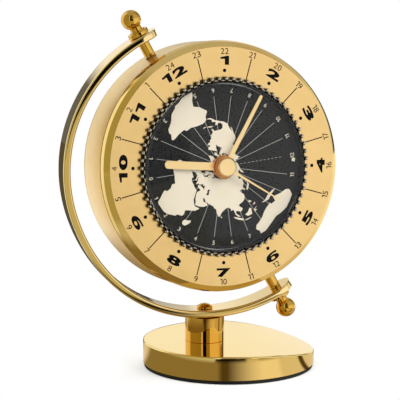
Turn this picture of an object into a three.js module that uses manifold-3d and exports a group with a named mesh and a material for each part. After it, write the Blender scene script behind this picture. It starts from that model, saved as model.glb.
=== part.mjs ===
// Swivel desk clock. A drum case with a world-time dial hangs between two pivot pins in a C-shaped
// arm, on a post and a round weighted base. Millimetres, +Z up, face towards -Y, origin at the centre
// of the underside. The case turns about the leaning line through the two finials.
import * as THREE from "three";
import { mergeVertices } from "three/addons/utils/BufferGeometryUtils.js";
import Module from "manifold-3d";

const wasm = await Module();
wasm.setup();

// Clearances shared by all pieces
const seatGap = 0.2; // between faces that rest on each other
const fitGap = 0.3; // round a piece in its hole or pocket
const runGap = 0.3; // round a piece that turns
const slipGap = 0.1; // between a hand and its own arbor
const overrun = 6; // cutting bodies run this far past what they cut
const weldStep = 0.0001; // vertices closer than this are one

// Base, seen from above a disc whose top is flat under the post and falls away to +X
const baseRadius = 49.5;
const baseHeight = 15.4;
const baseDrop = 6.6;
const baseWall = 1.7;
const baseRimBevel = 0.6;
const padThickness = 2.2;
const padInset = 0.6;
const padBevel = 0.4;
const postRadius = 11.2;
const postHeight = 14.55; // base top to the lowest point of the arm
const postX = -14.2;
const postBevel = 0.4;

// Screws up through the base and down through the arm, both in the post's bore
const standScrewRadius = 2;
const baseScrewHeadRadius = 4.5;
const baseScrewHeadHeight = 2.6;
const baseScrewReach = 7; // past the base top, into the post
const socketRadius = 2;
const socketDepth = 1.6;
const armScrewHeadRadius = 4.6;
const armScrewRim = 0.7;
const armScrewDome = 1.9;
const armScrewReach = 4; // past the arm, into the post

// Dial and bezel. Depths run back from the dial's front face
const dialRadius = 66.75;
const dialThickness = 1.2;
const dialGap = 0.15;
const bezelLip = 0.7;
const bezelFlare = 3.2;
const bezelCurveDepth = 4.3;
const bezelBandDepth = 1.6;
const bezelChamferRun = 0.8;
const bezelChamferDepth = 0.6;
const bezelCurveShares = [0.88, 0.47]; // control point of the convex flank, of its flare and depth
const flangeWidth = 3.4;
const flangeThickness = 1.4;
const spigotDepth = 3.4;
const spigotWall = 1.4;
const seamGap = 0.3; // the dark line between bezel and drum
const drumInset = 0.4; // the drum's skin lies this far inside the bezel

// Drum
const drumWall = 1.2;
const drumCorner = 12;
const caseDepth = 46.3;
const backOpeningRadius = 50;
const faceOffset = 23; // dial front to the swivel axis

// Knurled ring round the sunk centre, with its lens
const apertureRadius = 46.6;
const ringSpigotWall = 1.7;
const lensLedge = 1.2;
const lensLedgeHeight = 2;
const ringTopWidth = 1.3;
const ringHeight = 3.4;
const ringRootOut = 0.1;
const scallopHeight = 1.2;
const scallopBevel = 0.8;
const scallopCount = 72;
const scallopShares = [0.22, 0.5, 0.94]; // along one pitch: root of the groove, then the crest's corners
const lensThickness = 1.3;
const lensRise = 4.8;
const lensRimWidth = 1.8;

// World disc and the plate behind it
const discDepth = 2.6;
const discThickness = 0.8;
const discEdgeGap = 0.4;
const pocketGap = 1;
const plateThickness = 1.8;
const plateEdgeGap = 0.3;

// Hands, from the dial centre. Heights run forward from the dial's front face
const hourTipGap = 11.2; // hand tip to the ring's inner wall
const hourWidth = 4.4;
const hourThickness = 0.5;
const hourLevel = 0;
const hourBossRadius = 6.7;
const hourBossHeight = 2.8;
const minuteTipGap = 1.3;
const minuteRootWidth = 2.7;
const minuteTipWidth = 2;
const minuteThickness = 0.5;
const minuteBossRadius = 6;
const minuteBossHeight = 1.2;
const secondTipGap = 8.5;
const secondRootWidth = 1.5;
const secondTipWidth = 0.6;
const secondThickness = 0.4;
const capRadius = 5.2;
const capHeight = 3.5;
const capBevel = 0.8;
const hourAngle = 303;
const minuteAngle = 58.55;
const secondAngle = 150.1;

// Arbors, from the middle out
const secondArborRadius = 0.6;
const pipeWall = 0.6;
const hourPipeWall = 0.7;
const bushWall = 1.3;
const dayPipeWall = 1;
const dayFlangeWidth = 2.5;
const dayFlangeThickness = 0.5;
const arborBite = 1; // hand arbors end this far above the bottom of the movement's bore

// Movement
const movementWidth = 56;
const movementDepth = 15;
const movementCorner = 4;
const movementBevel = 0.8;
const boreDepth = 9;
const earWidth = 9;
const earLength = 9;
const earThickness = 3;
const smallScrewRadius = 1.1;
const smallScrewHeadRadius = 2.3;
const smallScrewHeadHeight = 1.5;
const slotWidth = 0.7;
const slotDepth = 0.6;

// Back cover with its battery tray and door
const coverLip = 7.5; // past the drum's back opening
const coverThickness = 2.2;
const coverEdgeBevel = 0.8;
const coverSpigotDepth = 4;
const coverSpigotWall = 1.6;
const coverScrewInset = 3.5;
const coverScrewReach = 2.4; // past the cover, through the drum's back
const trayWall = 1.5;
const trayY = -24;
const batteryRadius = 7.1;
const batteryLength = 49.5;
const nubRadius = 2.7;
const nubLength = 1;
const batteryGap = 0.7;
const contactSpace = 3;
const contactThickness = 0.5;
const contactWidth = 9;
const contactBow = 1.8;
const doorPinRadius = 0.5;
const doorPinLength = 1;
const doorPinGap = 0.25;
const doorNotchRadius = 5;
const doorNotchDepth = 0.8;

// Setting knob on the back
const knobRadius = 7.5;
const knobHeight = 5;
const knobShaftRadius = 1.6;
const knobY = 14;
const knobStand = 0.6;
const knobBite = 3;
const fluteCount = 16;
const fluteShare = 0.93; // radius in a flute, of the knob's

// Arm, finials and pivots
const armGap = 11.05; // drum skin to the inside of the arm
const armThickness = 4.2;
const armWidth = 18.3;
const armEdge = 0.7;
const armTipReach = 10.2; // rounded ends, past the middle of each finial's hole
const armSwell = 1.4; // the arm runs this far outside its round near the foot
const armSwellAngle = 121; // from the top finial
const armSwellHalf = 42;
const armLean = 2.7; // arm centre to the right of the post
const axisTilt = 28.55;
const caseTurn = 7.96;
const axisShift = 0.6; // swivel axis past the arm's own middle, towards the dial's 3 o'clock
const caseLift = 1.3;
const ballRadius = 5.7;
const ballReach = 9.75; // arm's outer face to the ball's centre
const neckRadius = 3.3;
const collarRadius = 6;
const collarHeight = 2.4;
const collarBevel = 0.5;
const stepRadius = 4.5;
const stepHeight = 0.6;
const studRadius = 1.6;
const studReach = 5; // past the arm's inside, into the pivot pin
const pinRadius = 3.15;
const pinSeat = 0.15;
const journalRadius = 1.75;
const journalReach = 3.2; // past the drum skin
const journalGap = 0.25;
const bushBarrelWall = 1.2;
const bushProud = 0.4;
const bushFlangeWidth = 1.8;
const bushFlangeThickness = 1;

// Steps round a full turn
const largeSteps = 56;
const mediumSteps = 36;
const smallSteps = 16;
const armSteps = 48;
const tipSteps = 6;
const arcSteps = 4;
const ballSteps = 8;
const tipLastShare = 0.93; // the rounded arm tip stops at this share of a quarter turn
const ringShares = [0.7, 0.35];

const radians = THREE.MathUtils.degToRad;
const quarter = Math.PI / 2;

// Places worked out from the sizes
const slopeStart = postX + postRadius;
const slopeRun = baseRadius - slopeStart;
const slopeRadius = (slopeRun ** 2 + baseDrop ** 2) / (baseDrop + baseDrop);
const bezelInner = dialRadius + dialGap;
const bezelFront = bezelInner + bezelLip;
const bezelOuter = bezelFront + bezelFlare;
const bezelBandEnd = bezelCurveDepth + bezelBandDepth;
const bezelDepth = bezelBandEnd + bezelChamferDepth;
const drumRadius = bezelOuter - drumInset;
const drumInner = drumRadius - drumWall;
const drumFront = bezelDepth + seamGap;
const armInner = drumRadius + armGap;
const armOuter = armInner + armThickness;
const armX = postX + armLean;
const armZ = baseHeight + postHeight + armOuter;
const spigotRadius = drumInner - fitGap;
const flangeFront = dialThickness + seatGap;
const flangeBack = flangeFront + flangeThickness;
const flangeInner = bezelInner - flangeWidth;
const ringSpigot = apertureRadius + ringSpigotWall;
const dialHole = ringSpigot + fitGap;
const ledgeRadius = apertureRadius + lensLedge;
const ringTop = ledgeRadius + ringTopWidth;
const scallopRoot = ringTop + ringRootOut;
const scallopTip = scallopRoot + scallopHeight;
const lensRadius = ledgeRadius - fitGap;
const discBack = discDepth + discThickness;
const discRadius = apertureRadius - discEdgeGap;
const pocketDepth = discBack + pocketGap;
const plateBack = pocketDepth + plateThickness;
const plateRadius = spigotRadius - spigotWall - plateEdgeGap;
const movementFront = plateBack + seatGap;
const movementBack = movementFront + movementDepth;
const boreBottom = movementFront + boreDepth;
const minutePipeInner = secondArborRadius + runGap;
const minutePipeOuter = minutePipeInner + pipeWall;
const hourPipeInner = minutePipeOuter + runGap;
const hourPipeOuter = hourPipeInner + hourPipeWall;
const bushInner = hourPipeOuter + runGap;
const bushOuter = bushInner + bushWall;
const dayPipeInner = bushOuter + runGap;
const dayPipeOuter = dayPipeInner + dayPipeWall;
const centreHole = dayPipeOuter + runGap;
const hourTop = hourLevel + hourThickness;
const hourBossTop = hourTop + slipGap;
const hourBossBase = hourBossTop - hourBossHeight;
const minuteBossBase = hourBossTop + runGap;
const minuteBossTop = minuteBossBase + minuteBossHeight;
const capBase = minuteBossTop + runGap;
const capTop = capBase + capHeight;
const arborEnd = -boreBottom + arborBite;
const coverFront = caseDepth + seatGap;
const coverBack = coverFront + coverThickness;
const coverRadius = backOpeningRadius + coverLip;
const coverSpigot = backOpeningRadius - fitGap;
const coverScrewRing = coverRadius - coverScrewInset;
const trayLength = batteryLength + nubLength + contactSpace + contactSpace;
const trayHeight = batteryRadius + batteryRadius + batteryGap + batteryGap + fitGap + fitGap;
const batteryDepth = coverFront - batteryGap - batteryRadius;
const trayFloor = batteryDepth - batteryRadius - batteryGap;
const doorWidth = trayLength - runGap - runGap;
const doorBottom = trayY - trayHeight / 2 + runGap;
const doorTop = trayY + trayHeight / 2 - runGap;
const doorEdge = coverThickness / 2;
const doorAxisY = doorBottom + doorEdge;
const doorAxisDepth = coverBack - doorEdge;

// ---- making shapes

const topAt = (x) => {
  const run = Math.max(0, x - slopeStart);
  return baseHeight - slopeRadius + Math.sqrt(slopeRadius ** 2 - Math.min(run, slopeRadius) ** 2);
};

// Turns a geometry's faces outward if they point in
function outward(geometry) {
  const at = geometry.getAttribute("position");
  const index = geometry.index.array;
  const a = new THREE.Vector3();
  const b = new THREE.Vector3();
  const c = new THREE.Vector3();
  let volume = 0;
  for (let i = 0; i < index.length; i += 3) {
    a.fromBufferAttribute(at, index[i]);
    b.fromBufferAttribute(at, index[i + 1]);
    c.fromBufferAttribute(at, index[i + 2]);
    volume += a.dot(b.cross(c));
  }
  if (volume < 0) {
    index.reverse();
  }
  return geometry;
}

// Position and index only, with shared vertices merged and collapsed triangles dropped
function welded(geometry) {
  const bare = geometry.clone();
  bare.deleteAttribute("normal");
  bare.deleteAttribute("uv");
  const merged = mergeVertices(bare, weldStep);
  const index = merged.index.array;
  const kept = [];
  for (let i = 0; i < index.length; i += 3) {
    const [p, q, r] = [index[i], index[i + 1], index[i + 2]];
    if (p !== q && q !== r && r !== p) {
      kept.push(p, q, r);
    }
  }
  merged.setIndex(kept);
  return outward(merged);
}

function solidOf(geometry) {
  const closed = welded(geometry);
  const vertProperties = new Float32Array(closed.attributes.position.array);
  const triVerts = new Uint32Array(closed.index.array);
  return new wasm.Manifold(new wasm.Mesh({ numProp: 3, vertProperties, triVerts }));
}

function geometryOf(solid) {
  const { vertProperties, triVerts } = solid.getMesh();
  const geometry = new THREE.BufferGeometry();
  geometry.setAttribute("position", new THREE.BufferAttribute(new Float32Array(vertProperties), 3));
  geometry.setIndex(new THREE.BufferAttribute(new Uint32Array(triVerts), 1));
  return geometry;
}

const cut = (body, ...tools) =>
  geometryOf(tools.reduce((left, tool) => left.subtract(solidOf(tool)), solidOf(body)));
const join = (...pieces) => geometryOf(pieces.map(solidOf).reduce((all, piece) => all.add(piece)));

// A body of revolution about +Z from points [radius, height]
function turned(points, steps = smallSteps) {
  const profile = points.map(([radius, height]) => new THREE.Vector2(radius, height));
  if (points[0][0] > 0) {
    profile.push(profile[0].clone());
  }
  const geometry = new THREE.LatheGeometry(profile, steps);
  return geometry.rotateX(quarter);
}

const rod = (radius, low, high, steps = smallSteps) =>
  turned([[0, low], [radius, low], [radius, high], [0, high]], steps);
const tube = (inner, outer, low, high, steps = smallSteps) =>
  turned([[inner, low], [outer, low], [outer, high], [inner, high]], steps);

function box(width, depth, height, x, y, z) {
  return new THREE.BoxGeometry(width, depth, height).translate(x, y, z);
}

// An outline in the XY plane raised from low to high
function raised(shape, low, high, curveSegments = arcSteps) {
  const options = { depth: high - low, bevelEnabled: false, curveSegments };
  return new THREE.ExtrudeGeometry(shape, options).translate(0, 0, low);
}

// A skin through rings of equal length, joined end to end or capped at both ends
function skinned(rings, looped) {
  const count = rings[0].length;
  const positions = rings.flat().flatMap((point) => point.toArray());
  const index = [];
  const spans = looped ? rings.length : rings.length - 1;
  for (let i = 0; i < spans; i += 1) {
    const next = ((i + 1) % rings.length) * count;
    for (let j = 0; j < count; j += 1) {
      const k = (j + 1) % count;
      index.push(i * count + j, next + j, next + k);
      index.push(i * count + j, next + k, i * count + k);
    }
  }
  if (!looped) {
    for (const i of [0, rings.length - 1]) {
      const middle = new THREE.Vector3();
      rings[i].forEach((point) => middle.addScaledVector(point, 1 / count));
      const centre = positions.length / 3;
      positions.push(...middle.toArray());
      for (let j = 0; j < count; j += 1) {
        const k = (j + 1) % count;
        index.push(centre, ...(i === 0 ? [i * count + j, i * count + k] : [i * count + k, i * count + j]));
      }
    }
  }
  const geometry = new THREE.BufferGeometry();
  geometry.setAttribute("position", new THREE.Float32BufferAttribute(positions, 3));
  geometry.setIndex(index);
  return outward(geometry);
}

function ringOf(radius, heightAt) {
  return Array.from({ length: largeSteps }, (_, i) => {
    const angle = (i / largeSteps) * 2 * Math.PI;
    const x = radius * Math.cos(angle);
    return new THREE.Vector3(x, radius * Math.sin(angle), heightAt(x));
  });
}

// A disc with the base's falling top, lowered by sink
function slopedDisc(radius, floor, sink, bevel) {
  const top = (x) => topAt(x) - sink;
  const rings = [ringOf(radius, () => floor)];
  if (bevel > 0) {
    rings.push(ringOf(radius, (x) => top(x) - bevel));
  }
  rings.push(ringOf(radius - bevel, top));
  ringShares.forEach((share) => rings.push(ringOf((radius - bevel) * share, top)));
  return skinned(rings, false);
}

const root = new THREE.Group();
const leaning = new THREE.Group(); // about the arm's middle, +Z along the swivel axis
leaning.position.set(armX, 0, armZ);
leaning.rotation.y = -radians(axisTilt);
const swivel = new THREE.Group(); // +Z runs up the swivel axis itself
swivel.position.x = axisShift;
const caseGroup = new THREE.Group();
caseGroup.position.z = caseLift;
caseGroup.rotation.z = radians(caseTurn);
const face = new THREE.Group(); // X to 3 o'clock, Y to 12 o'clock, Z forward from the dial
face.position.y = -faceOffset;
face.rotation.x = quarter;
root.add(leaning);
leaning.add(swivel);
swivel.add(caseGroup);
caseGroup.add(face);

const finishes = {
  satinBrass: [0xd8b87c, 0.42, 1],
  polishedBrass: [0xb08a3e, 0.12, 1],
  dialBrass: [0xe6c887, 0.5, 1],
  darkChrome: [0x55504a, 0.18, 1],
  acrylic: [0xffffff, 0.05, 0],
  discBlack: [0x3a3b37, 0.6, 0],
  blackPlastic: [0x1d1d1e, 0.55, 0],
  steel: [0x9a9a98, 0.35, 1],
  castIron: [0x4a4846, 0.8, 0.6],
  rubber: [0x161616, 0.9, 0],
  nylon: [0xe8e4da, 0.6, 0],
  cellSleeve: [0x3c4a5a, 0.4, 0.3],
};

// One named piece with its own material
function piece(name, group, geometry, finish) {
  const [color, roughness, metalness] = finishes[finish];
  const material = new THREE.MeshStandardMaterial({ color, roughness, metalness });
  if (finish === "acrylic") {
    material.transparent = true;
    material.opacity = 0.25;
  }
  const mesh = new THREE.Mesh(welded(geometry), material);
  mesh.geometry.computeVertexNormals();
  mesh.name = name;
  group.add(mesh);
  return mesh;
}

// ---- base and post

const shellInner = baseRadius - baseWall;
const screwBore = rod(standScrewRadius + fitGap, -overrun, armZ).translate(postX, 0, 0);
piece(
  "base_shell",
  root,
  cut(
    slopedDisc(baseRadius, padThickness, 0, baseRimBevel),
    slopedDisc(shellInner, padThickness - overrun, baseWall, 0),
    screwBore,
  ),
  "polishedBrass",
);

const counterbore = padThickness + seatGap + baseScrewHeadHeight + seatGap;
piece(
  "base_weight",
  root,
  cut(
    slopedDisc(shellInner - fitGap, padThickness, baseWall + fitGap, 0),
    screwBore,
    rod(baseScrewHeadRadius + fitGap, -overrun, counterbore).translate(postX, 0, 0),
  ),
  "castIron",
);

const padRadius = baseRadius - padInset;
piece(
  "base_pad",
  root,
  turned(
    [[0, 0], [padRadius - padBevel, 0], [padRadius, padBevel], [padRadius, padThickness], [0, padThickness]],
    largeSteps,
  ),
  "rubber",
);

const headTop = counterbore - seatGap;
const headBottom = headTop - baseScrewHeadHeight;
const hexSocket = new THREE.CylinderGeometry(socketRadius, socketRadius, socketDepth + overrun, 6);
hexSocket.rotateX(quarter).translate(postX, 0, headBottom + socketDepth - (socketDepth + overrun) / 2);
piece(
  "base_screw",
  root,
  cut(
    turned([
      [0, headBottom],
      [baseScrewHeadRadius, headBottom],
      [baseScrewHeadRadius, headTop],
      [standScrewRadius, headTop],
      [standScrewRadius, baseHeight + baseScrewReach],
      [0, baseHeight + baseScrewReach],
    ]).translate(postX, 0, 0),
    hexSocket,
  ),
  "steel",
);

const armRound = skinned(
  Array.from({ length: armSteps + 1 }, (_, i) =>
    armSection((i / armSteps) * Math.PI, postRadius + overrun, armInner - postRadius, armOuter + seatGap),
  ),
  false,
);
armRound.rotateY(-radians(axisTilt)).translate(armX, 0, armZ);
const postTop = baseHeight + postHeight + postRadius;
piece(
  "post",
  root,
  cut(
    turned(
      [
        [0, baseHeight],
        [postRadius - postBevel, baseHeight],
        [postRadius, baseHeight + postBevel],
        [postRadius, postTop],
        [0, postTop],
      ],
      mediumSteps,
    ).translate(postX, 0, 0),
    armRound,
    screwBore,
  ),
  "polishedBrass",
);

// ---- arm: a flat band bent through half a turn, with rounded ends past both finials

function armSection(angle, halfWidth, inner = armInner, outer = armOuter) {
  const edge = Math.min(armEdge, halfWidth / 2);
  const away = Math.min(1, Math.abs(angle - radians(armSwellAngle)) / radians(armSwellHalf));
  const swell = armSwell * Math.cos(away * quarter) ** 2;
  const corners = [
    [inner, edge - halfWidth],
    [inner + edge, -halfWidth],
    [outer - edge, -halfWidth],
    [outer, edge - halfWidth],
    [outer, halfWidth - edge],
    [outer - edge, halfWidth],
    [inner + edge, halfWidth],
    [inner, halfWidth - edge],
  ];
  return corners.map(([radius, y]) => {
    const reach = radius + swell;
    return new THREE.Vector3(-reach * Math.sin(angle), y, reach * Math.cos(angle));
  });
}

function armBand() {
  const half = armWidth / 2;
  const tips = Array.from({ length: tipSteps }, (_, i) => {
    const sweep = ((i + 1) / tipSteps) * quarter * tipLastShare;
    return [(armTipReach * Math.sin(sweep)) / armOuter, half * Math.cos(sweep)];
  });
  const start = tips.toReversed().map(([ahead, width]) => armSection(-ahead, width));
  const middle = Array.from({ length: armSteps + 1 }, (_, i) => armSection((i / armSteps) * Math.PI, half));
  const end = tips.map(([ahead, width]) => armSection(Math.PI + ahead, width));
  return skinned([...start, ...middle, ...end], false);
}

const studHole = rod(studRadius + fitGap, -armOuter - overrun, armOuter + overrun);
studHole.translate(axisShift, 0, 0);
const armScrewHole = rod(standScrewRadius + fitGap, baseHeight, armZ);
armScrewHole.translate(postX - armX, 0, -armZ).rotateY(radians(axisTilt));
piece("arm", leaning, cut(armBand(), studHole, armScrewHole), "polishedBrass");

// The screw head stands on the lowest line of the arm's inside, which falls away a little under it
const armScrewSeat = armZ - armInner + slipGap;
const armScrewEnd = armZ - armOuter - armScrewReach;
const domeSphere = (armScrewHeadRadius ** 2 + armScrewDome ** 2) / (armScrewDome + armScrewDome);
const domeHalf = Math.asin(armScrewHeadRadius / domeSphere);
const domePoints = Array.from({ length: arcSteps + 1 }, (_, i) => {
  const angle = domeHalf * (1 - i / arcSteps);
  const drop = domeSphere * (Math.cos(angle) - Math.cos(domeHalf));
  return [i === arcSteps ? 0 : domeSphere * Math.sin(angle), armScrewSeat + armScrewRim + drop];
});
piece(
  "arm_screw",
  root,
  turned([
    [0, armScrewEnd],
    [standScrewRadius, armScrewEnd],
    [standScrewRadius, armScrewSeat],
    [armScrewHeadRadius, armScrewSeat],
    ...domePoints,
  ]).translate(postX, 0, 0),
  "polishedBrass",
);

// ---- finials and pivot pins, the lower pair turned over

const finialSeat = armOuter + slipGap;
const ballCentre = armOuter + ballReach;
const neckAngle = Math.asin(neckRadius / ballRadius);
const ballPoints = Array.from({ length: ballSteps + 1 }, (_, i) => {
  const angle = neckAngle + (i / ballSteps) * (Math.PI - neckAngle);
  return [i === ballSteps ? 0 : ballRadius * Math.sin(angle), ballCentre - ballRadius * Math.cos(angle)];
});
const collarTop = finialSeat + collarHeight;
const finialPoints = [
  [0, armInner - studReach],
  [studRadius, armInner - studReach],
  [studRadius, finialSeat],
  [collarRadius, finialSeat],
  [collarRadius, collarTop - collarBevel],
  [collarRadius - collarBevel, collarTop],
  [stepRadius, collarTop],
  [stepRadius, collarTop + stepHeight],
  [neckRadius, collarTop + stepHeight],
  ...ballPoints,
];

// The pin's journal runs in the bush of a drum lifted by lift along the axis
function pivotPin(lift) {
  const top = armInner - pinSeat;
  const shoulder = lift + drumRadius + bushProud + runGap;
  const end = lift + drumRadius - journalReach;
  const body = turned([
    [0, end],
    [journalRadius, end],
    [journalRadius, shoulder],
    [pinRadius, shoulder],
    [pinRadius, top],
    [0, top],
  ]);
  return cut(body, rod(studRadius + fitGap, armInner - studReach - fitGap, armInner + overrun));
}

piece("top_finial", swivel, turned(finialPoints), "polishedBrass");
piece("bottom_finial", swivel, turned(finialPoints), "polishedBrass").rotation.x = Math.PI;
piece("top_pivot_pin", swivel, pivotPin(caseLift), "polishedBrass");
piece("bottom_pivot_pin", swivel, pivotPin(-caseLift), "polishedBrass").rotation.x = Math.PI;

// Nylon bush: barrel through the drum wall, flange inside it
const bushBore = journalRadius + journalGap;
const bushBarrel = bushBore + bushBarrelWall;
const bushSeat = drumInner - fitGap;
const bushPoints = [
  [bushBore, bushSeat - bushFlangeThickness],
  [bushBarrel + bushFlangeWidth, bushSeat - bushFlangeThickness],
  [bushBarrel + bushFlangeWidth, bushSeat],
  [bushBarrel, bushSeat],
  [bushBarrel, drumRadius + bushProud],
  [bushBore, drumRadius + bushProud],
];
piece("top_bush", caseGroup, turned(bushPoints), "nylon");
piece("bottom_bush", caseGroup, turned(bushPoints), "nylon").rotation.x = Math.PI;

// ---- drum

const cornerArc = (radius, turn) =>
  Array.from({ length: arcSteps + 1 }, (_, i) => {
    const angle = (i / arcSteps) * quarter * turn;
    const middle = [drumRadius - drumCorner, drumCorner - caseDepth];
    return [middle[0] + radius * Math.cos(angle), middle[1] - radius * Math.sin(angle)];
  });
const drumPoints = [
  [drumInner, -drumFront],
  [drumRadius, -drumFront],
  ...cornerArc(drumCorner, 1),
  [backOpeningRadius, -caseDepth],
  [backOpeningRadius, drumWall - caseDepth],
  ...cornerArc(drumCorner - drumWall, 1).toReversed(),
];
const bushHole = rod(bushBarrel + fitGap, -drumRadius - overrun, drumRadius + overrun);
bushHole.translate(0, faceOffset, 0).rotateX(-quarter);
const coverScrewAngles = [90, 210, 330].map(radians);
const coverScrewPlaces = coverScrewAngles.map((angle) => [
  coverScrewRing * Math.cos(angle),
  coverScrewRing * Math.sin(angle),
]);
const coverScrewHoles = coverScrewPlaces.map(([x, y]) =>
  rod(smallScrewRadius + fitGap, -coverBack - overrun, overrun - caseDepth, smallSteps / 2).translate(x, y, 0),
);
piece(
  "case_shell",
  face,
  cut(turned(drumPoints, largeSteps), bushHole, ...coverScrewHoles),
  "satinBrass",
);

// ---- bezel, dial ring, knurled ring and lens

const flank = new THREE.QuadraticBezierCurve(
  new THREE.Vector2(bezelFront, 0),
  new THREE.Vector2(bezelFront + bezelFlare * bezelCurveShares[0], -bezelCurveDepth * bezelCurveShares[1]),
  new THREE.Vector2(bezelOuter, -bezelCurveDepth),
);
piece(
  "bezel",
  face,
  turned(
    [
      [bezelInner, 0],
      ...flank.getPoints(arcSteps).map((point) => point.toArray()),
      [bezelOuter, -bezelBandEnd],
      [bezelOuter - bezelChamferRun, -bezelDepth],
      [spigotRadius, -bezelDepth],
      [spigotRadius, -bezelDepth - spigotDepth],
      [spigotRadius - spigotWall, -bezelDepth - spigotDepth],
      [spigotRadius - spigotWall, -flangeBack],
      [flangeInner, -flangeBack],
      [flangeInner, -flangeFront],
      [bezelInner, -flangeFront],
    ],
    largeSteps,
  ),
  "polishedBrass",
);

piece("dial_ring", face, tube(dialHole, dialRadius, -dialThickness, 0, largeSteps), "dialBrass");

const ringCore = turned(
  [
    [apertureRadius, fitGap - pocketDepth],
    [ringSpigot, fitGap - pocketDepth],
    [ringSpigot, seatGap],
    [ringTop, seatGap],
    [ringTop, ringHeight],
    [ledgeRadius, ringHeight],
    [ledgeRadius, lensLedgeHeight],
    [apertureRadius, lensLedgeHeight],
  ],
  largeSteps,
);

// One section of the coin edge at each root and crest corner
function scallopedBand() {
  const inside = (ledgeRadius + ringTop) / 2;
  const rings = [];
  for (let i = 0; i < scallopCount; i += 1) {
    scallopShares.forEach((share, corner) => {
      const angle = ((i + share) / scallopCount) * 2 * Math.PI;
      const outer = corner === 0 ? scallopRoot : scallopTip;
      const section = [
        [inside, seatGap],
        [outer, seatGap],
        [outer, ringHeight - scallopBevel],
        [ringTop, ringHeight],
        [inside, ringHeight],
      ];
      rings.push(
        section.map(([r, z]) => new THREE.Vector3(r * Math.cos(angle), r * Math.sin(angle), z)),
      );
    });
  }
  return skinned(rings, true);
}
piece("knurled_ring", face, join(ringCore, scallopedBand()), "darkChrome");

// A shallow dome on a flat rim that sits on the ring's ledge
function lensPoints() {
  const low = lensLedgeHeight + seatGap;
  const reach = lensRadius - lensRimWidth;
  const bend = (reach ** 2 + lensRise ** 2) / (lensRise + lensRise);
  const dome = (base) =>
    Array.from({ length: arcSteps + 1 }, (_, i) => {
      const radius = (reach * i) / arcSteps;
      return [radius, base + lensRise - bend + Math.sqrt(bend ** 2 - radius ** 2)];
    });
  return [
    ...dome(low),
    [lensRadius, low],
    [lensRadius, low + lensThickness],
    ...dome(low + lensThickness).toReversed(),
  ];
}
piece("lens", face, turned(lensPoints(), mediumSteps), "acrylic");

// ---- dial plate with its pocket, movement and the fixed bush

const earX = movementWidth / 2 + earLength / 2;
const earScrewHoles = [-earX, earX].map((x) =>
  rod(smallScrewRadius + fitGap, -movementBack - overrun, overrun, smallSteps / 2).translate(x, 0, 0),
);
piece(
  "dial_plate",
  face,
  cut(
    turned(
      [
        [centreHole, -pocketDepth],
        [dialHole, -pocketDepth],
        [dialHole, -flangeFront],
        [flangeInner - fitGap, -flangeFront],
        [flangeInner - fitGap, -flangeBack - seatGap],
        [plateRadius, -flangeBack - seatGap],
        [plateRadius, -plateBack],
        [centreHole, -plateBack],
      ],
      mediumSteps,
    ),
    ...earScrewHoles,
  ),
  "steel",
);

function roundedRectangle(width, height, corner) {
  const shape = new THREE.Shape();
  const x = width / 2 - corner;
  const y = height / 2 - corner;
  shape.absarc(x, y, corner, 0, quarter);
  shape.absarc(-x, y, corner, quarter, Math.PI);
  shape.absarc(-x, -y, corner, Math.PI, Math.PI + quarter);
  shape.absarc(x, -y, corner, Math.PI + quarter, Math.PI + Math.PI);
  return shape;
}

const movementShape = roundedRectangle(
  movementWidth - movementBevel - movementBevel,
  movementWidth - movementBevel - movementBevel,
  movementCorner,
);
const movementBlock = new THREE.ExtrudeGeometry(movementShape, {
  depth: movementDepth - movementBevel - movementBevel,
  bevelThickness: movementBevel,
  bevelSize: movementBevel,
  bevelSegments: 1,
  curveSegments: arcSteps,
}).translate(0, 0, movementBevel - movementBack);
const earSpan = movementWidth + earLength + earLength;
const ears = box(earSpan, earWidth, earThickness, 0, 0, -movementFront - earThickness / 2);
const knobHole = rod(knobShaftRadius + runGap, -movementBack - overrun, knobBite + fitGap - movementBack);
piece(
  "movement_case",
  face,
  cut(
    join(movementBlock, ears),
    rod(centreHole, -boreBottom, overrun - movementFront),
    knobHole.translate(0, knobY, 0),
    ...earScrewHoles,
  ),
  "blackPlastic",
);
piece(
  "center_bush",
  face,
  tube(bushInner, bushOuter, seatGap - boreBottom, hourBossBase - runGap),
  "polishedBrass",
);

// A slotted pan-head screw whose head rests under headSeat and points back
function smallScrew(headSeat, tip) {
  const head = headSeat - smallScrewHeadHeight;
  const body = turned(
    [
      [0, head],
      [smallScrewHeadRadius, head],
      [smallScrewHeadRadius, headSeat],
      [smallScrewRadius, headSeat],
      [smallScrewRadius, tip],
      [0, tip],
    ],
    smallSteps / 2,
  );
  const span = smallScrewHeadRadius + smallScrewHeadRadius + overrun;
  return cut(body, box(span, slotWidth, slotDepth + overrun, 0, 0, head + (slotDepth - overrun) / 2));
}

const earBack = -movementFront - earThickness;
[["movement_screw_left", -earX], ["movement_screw_right", earX]].forEach(([name, x]) => {
  piece(name, face, smallScrew(earBack - seatGap, -pocketDepth - seatGap), "steel").position.x = x;
});

// ---- world disc and hands on their arbors

const flangeTop = -discBack - seatGap;
piece(
  "day_pipe",
  face,
  turned([
    [dayPipeInner, arborEnd],
    [dayPipeOuter, arborEnd],
    [dayPipeOuter, flangeTop - dayFlangeThickness],
    [dayPipeOuter + dayFlangeWidth, flangeTop - dayFlangeThickness],
    [dayPipeOuter + dayFlangeWidth, flangeTop],
    [dayPipeOuter, flangeTop],
    [dayPipeOuter, -discDepth],
    [dayPipeInner, -discDepth],
  ]),
  "polishedBrass",
);
piece(
  "world_disc",
  face,
  tube(dayPipeOuter + slipGap, discRadius, -discBack, -discDepth, largeSteps),
  "discBlack",
);

// A blade from the middle to its tip, with a round end, towards 12 o'clock
function blade(rootWidth, tipWidth, tipRadius, low, thickness) {
  const shape = new THREE.Shape();
  shape.moveTo(-rootWidth / 2, 0);
  shape.lineTo(rootWidth / 2, 0);
  shape.lineTo(tipWidth / 2, tipRadius - tipWidth / 2);
  shape.absarc(0, tipRadius - tipWidth / 2, tipWidth / 2, 0, Math.PI);
  return raised(shape, low, low + thickness);
}

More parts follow.
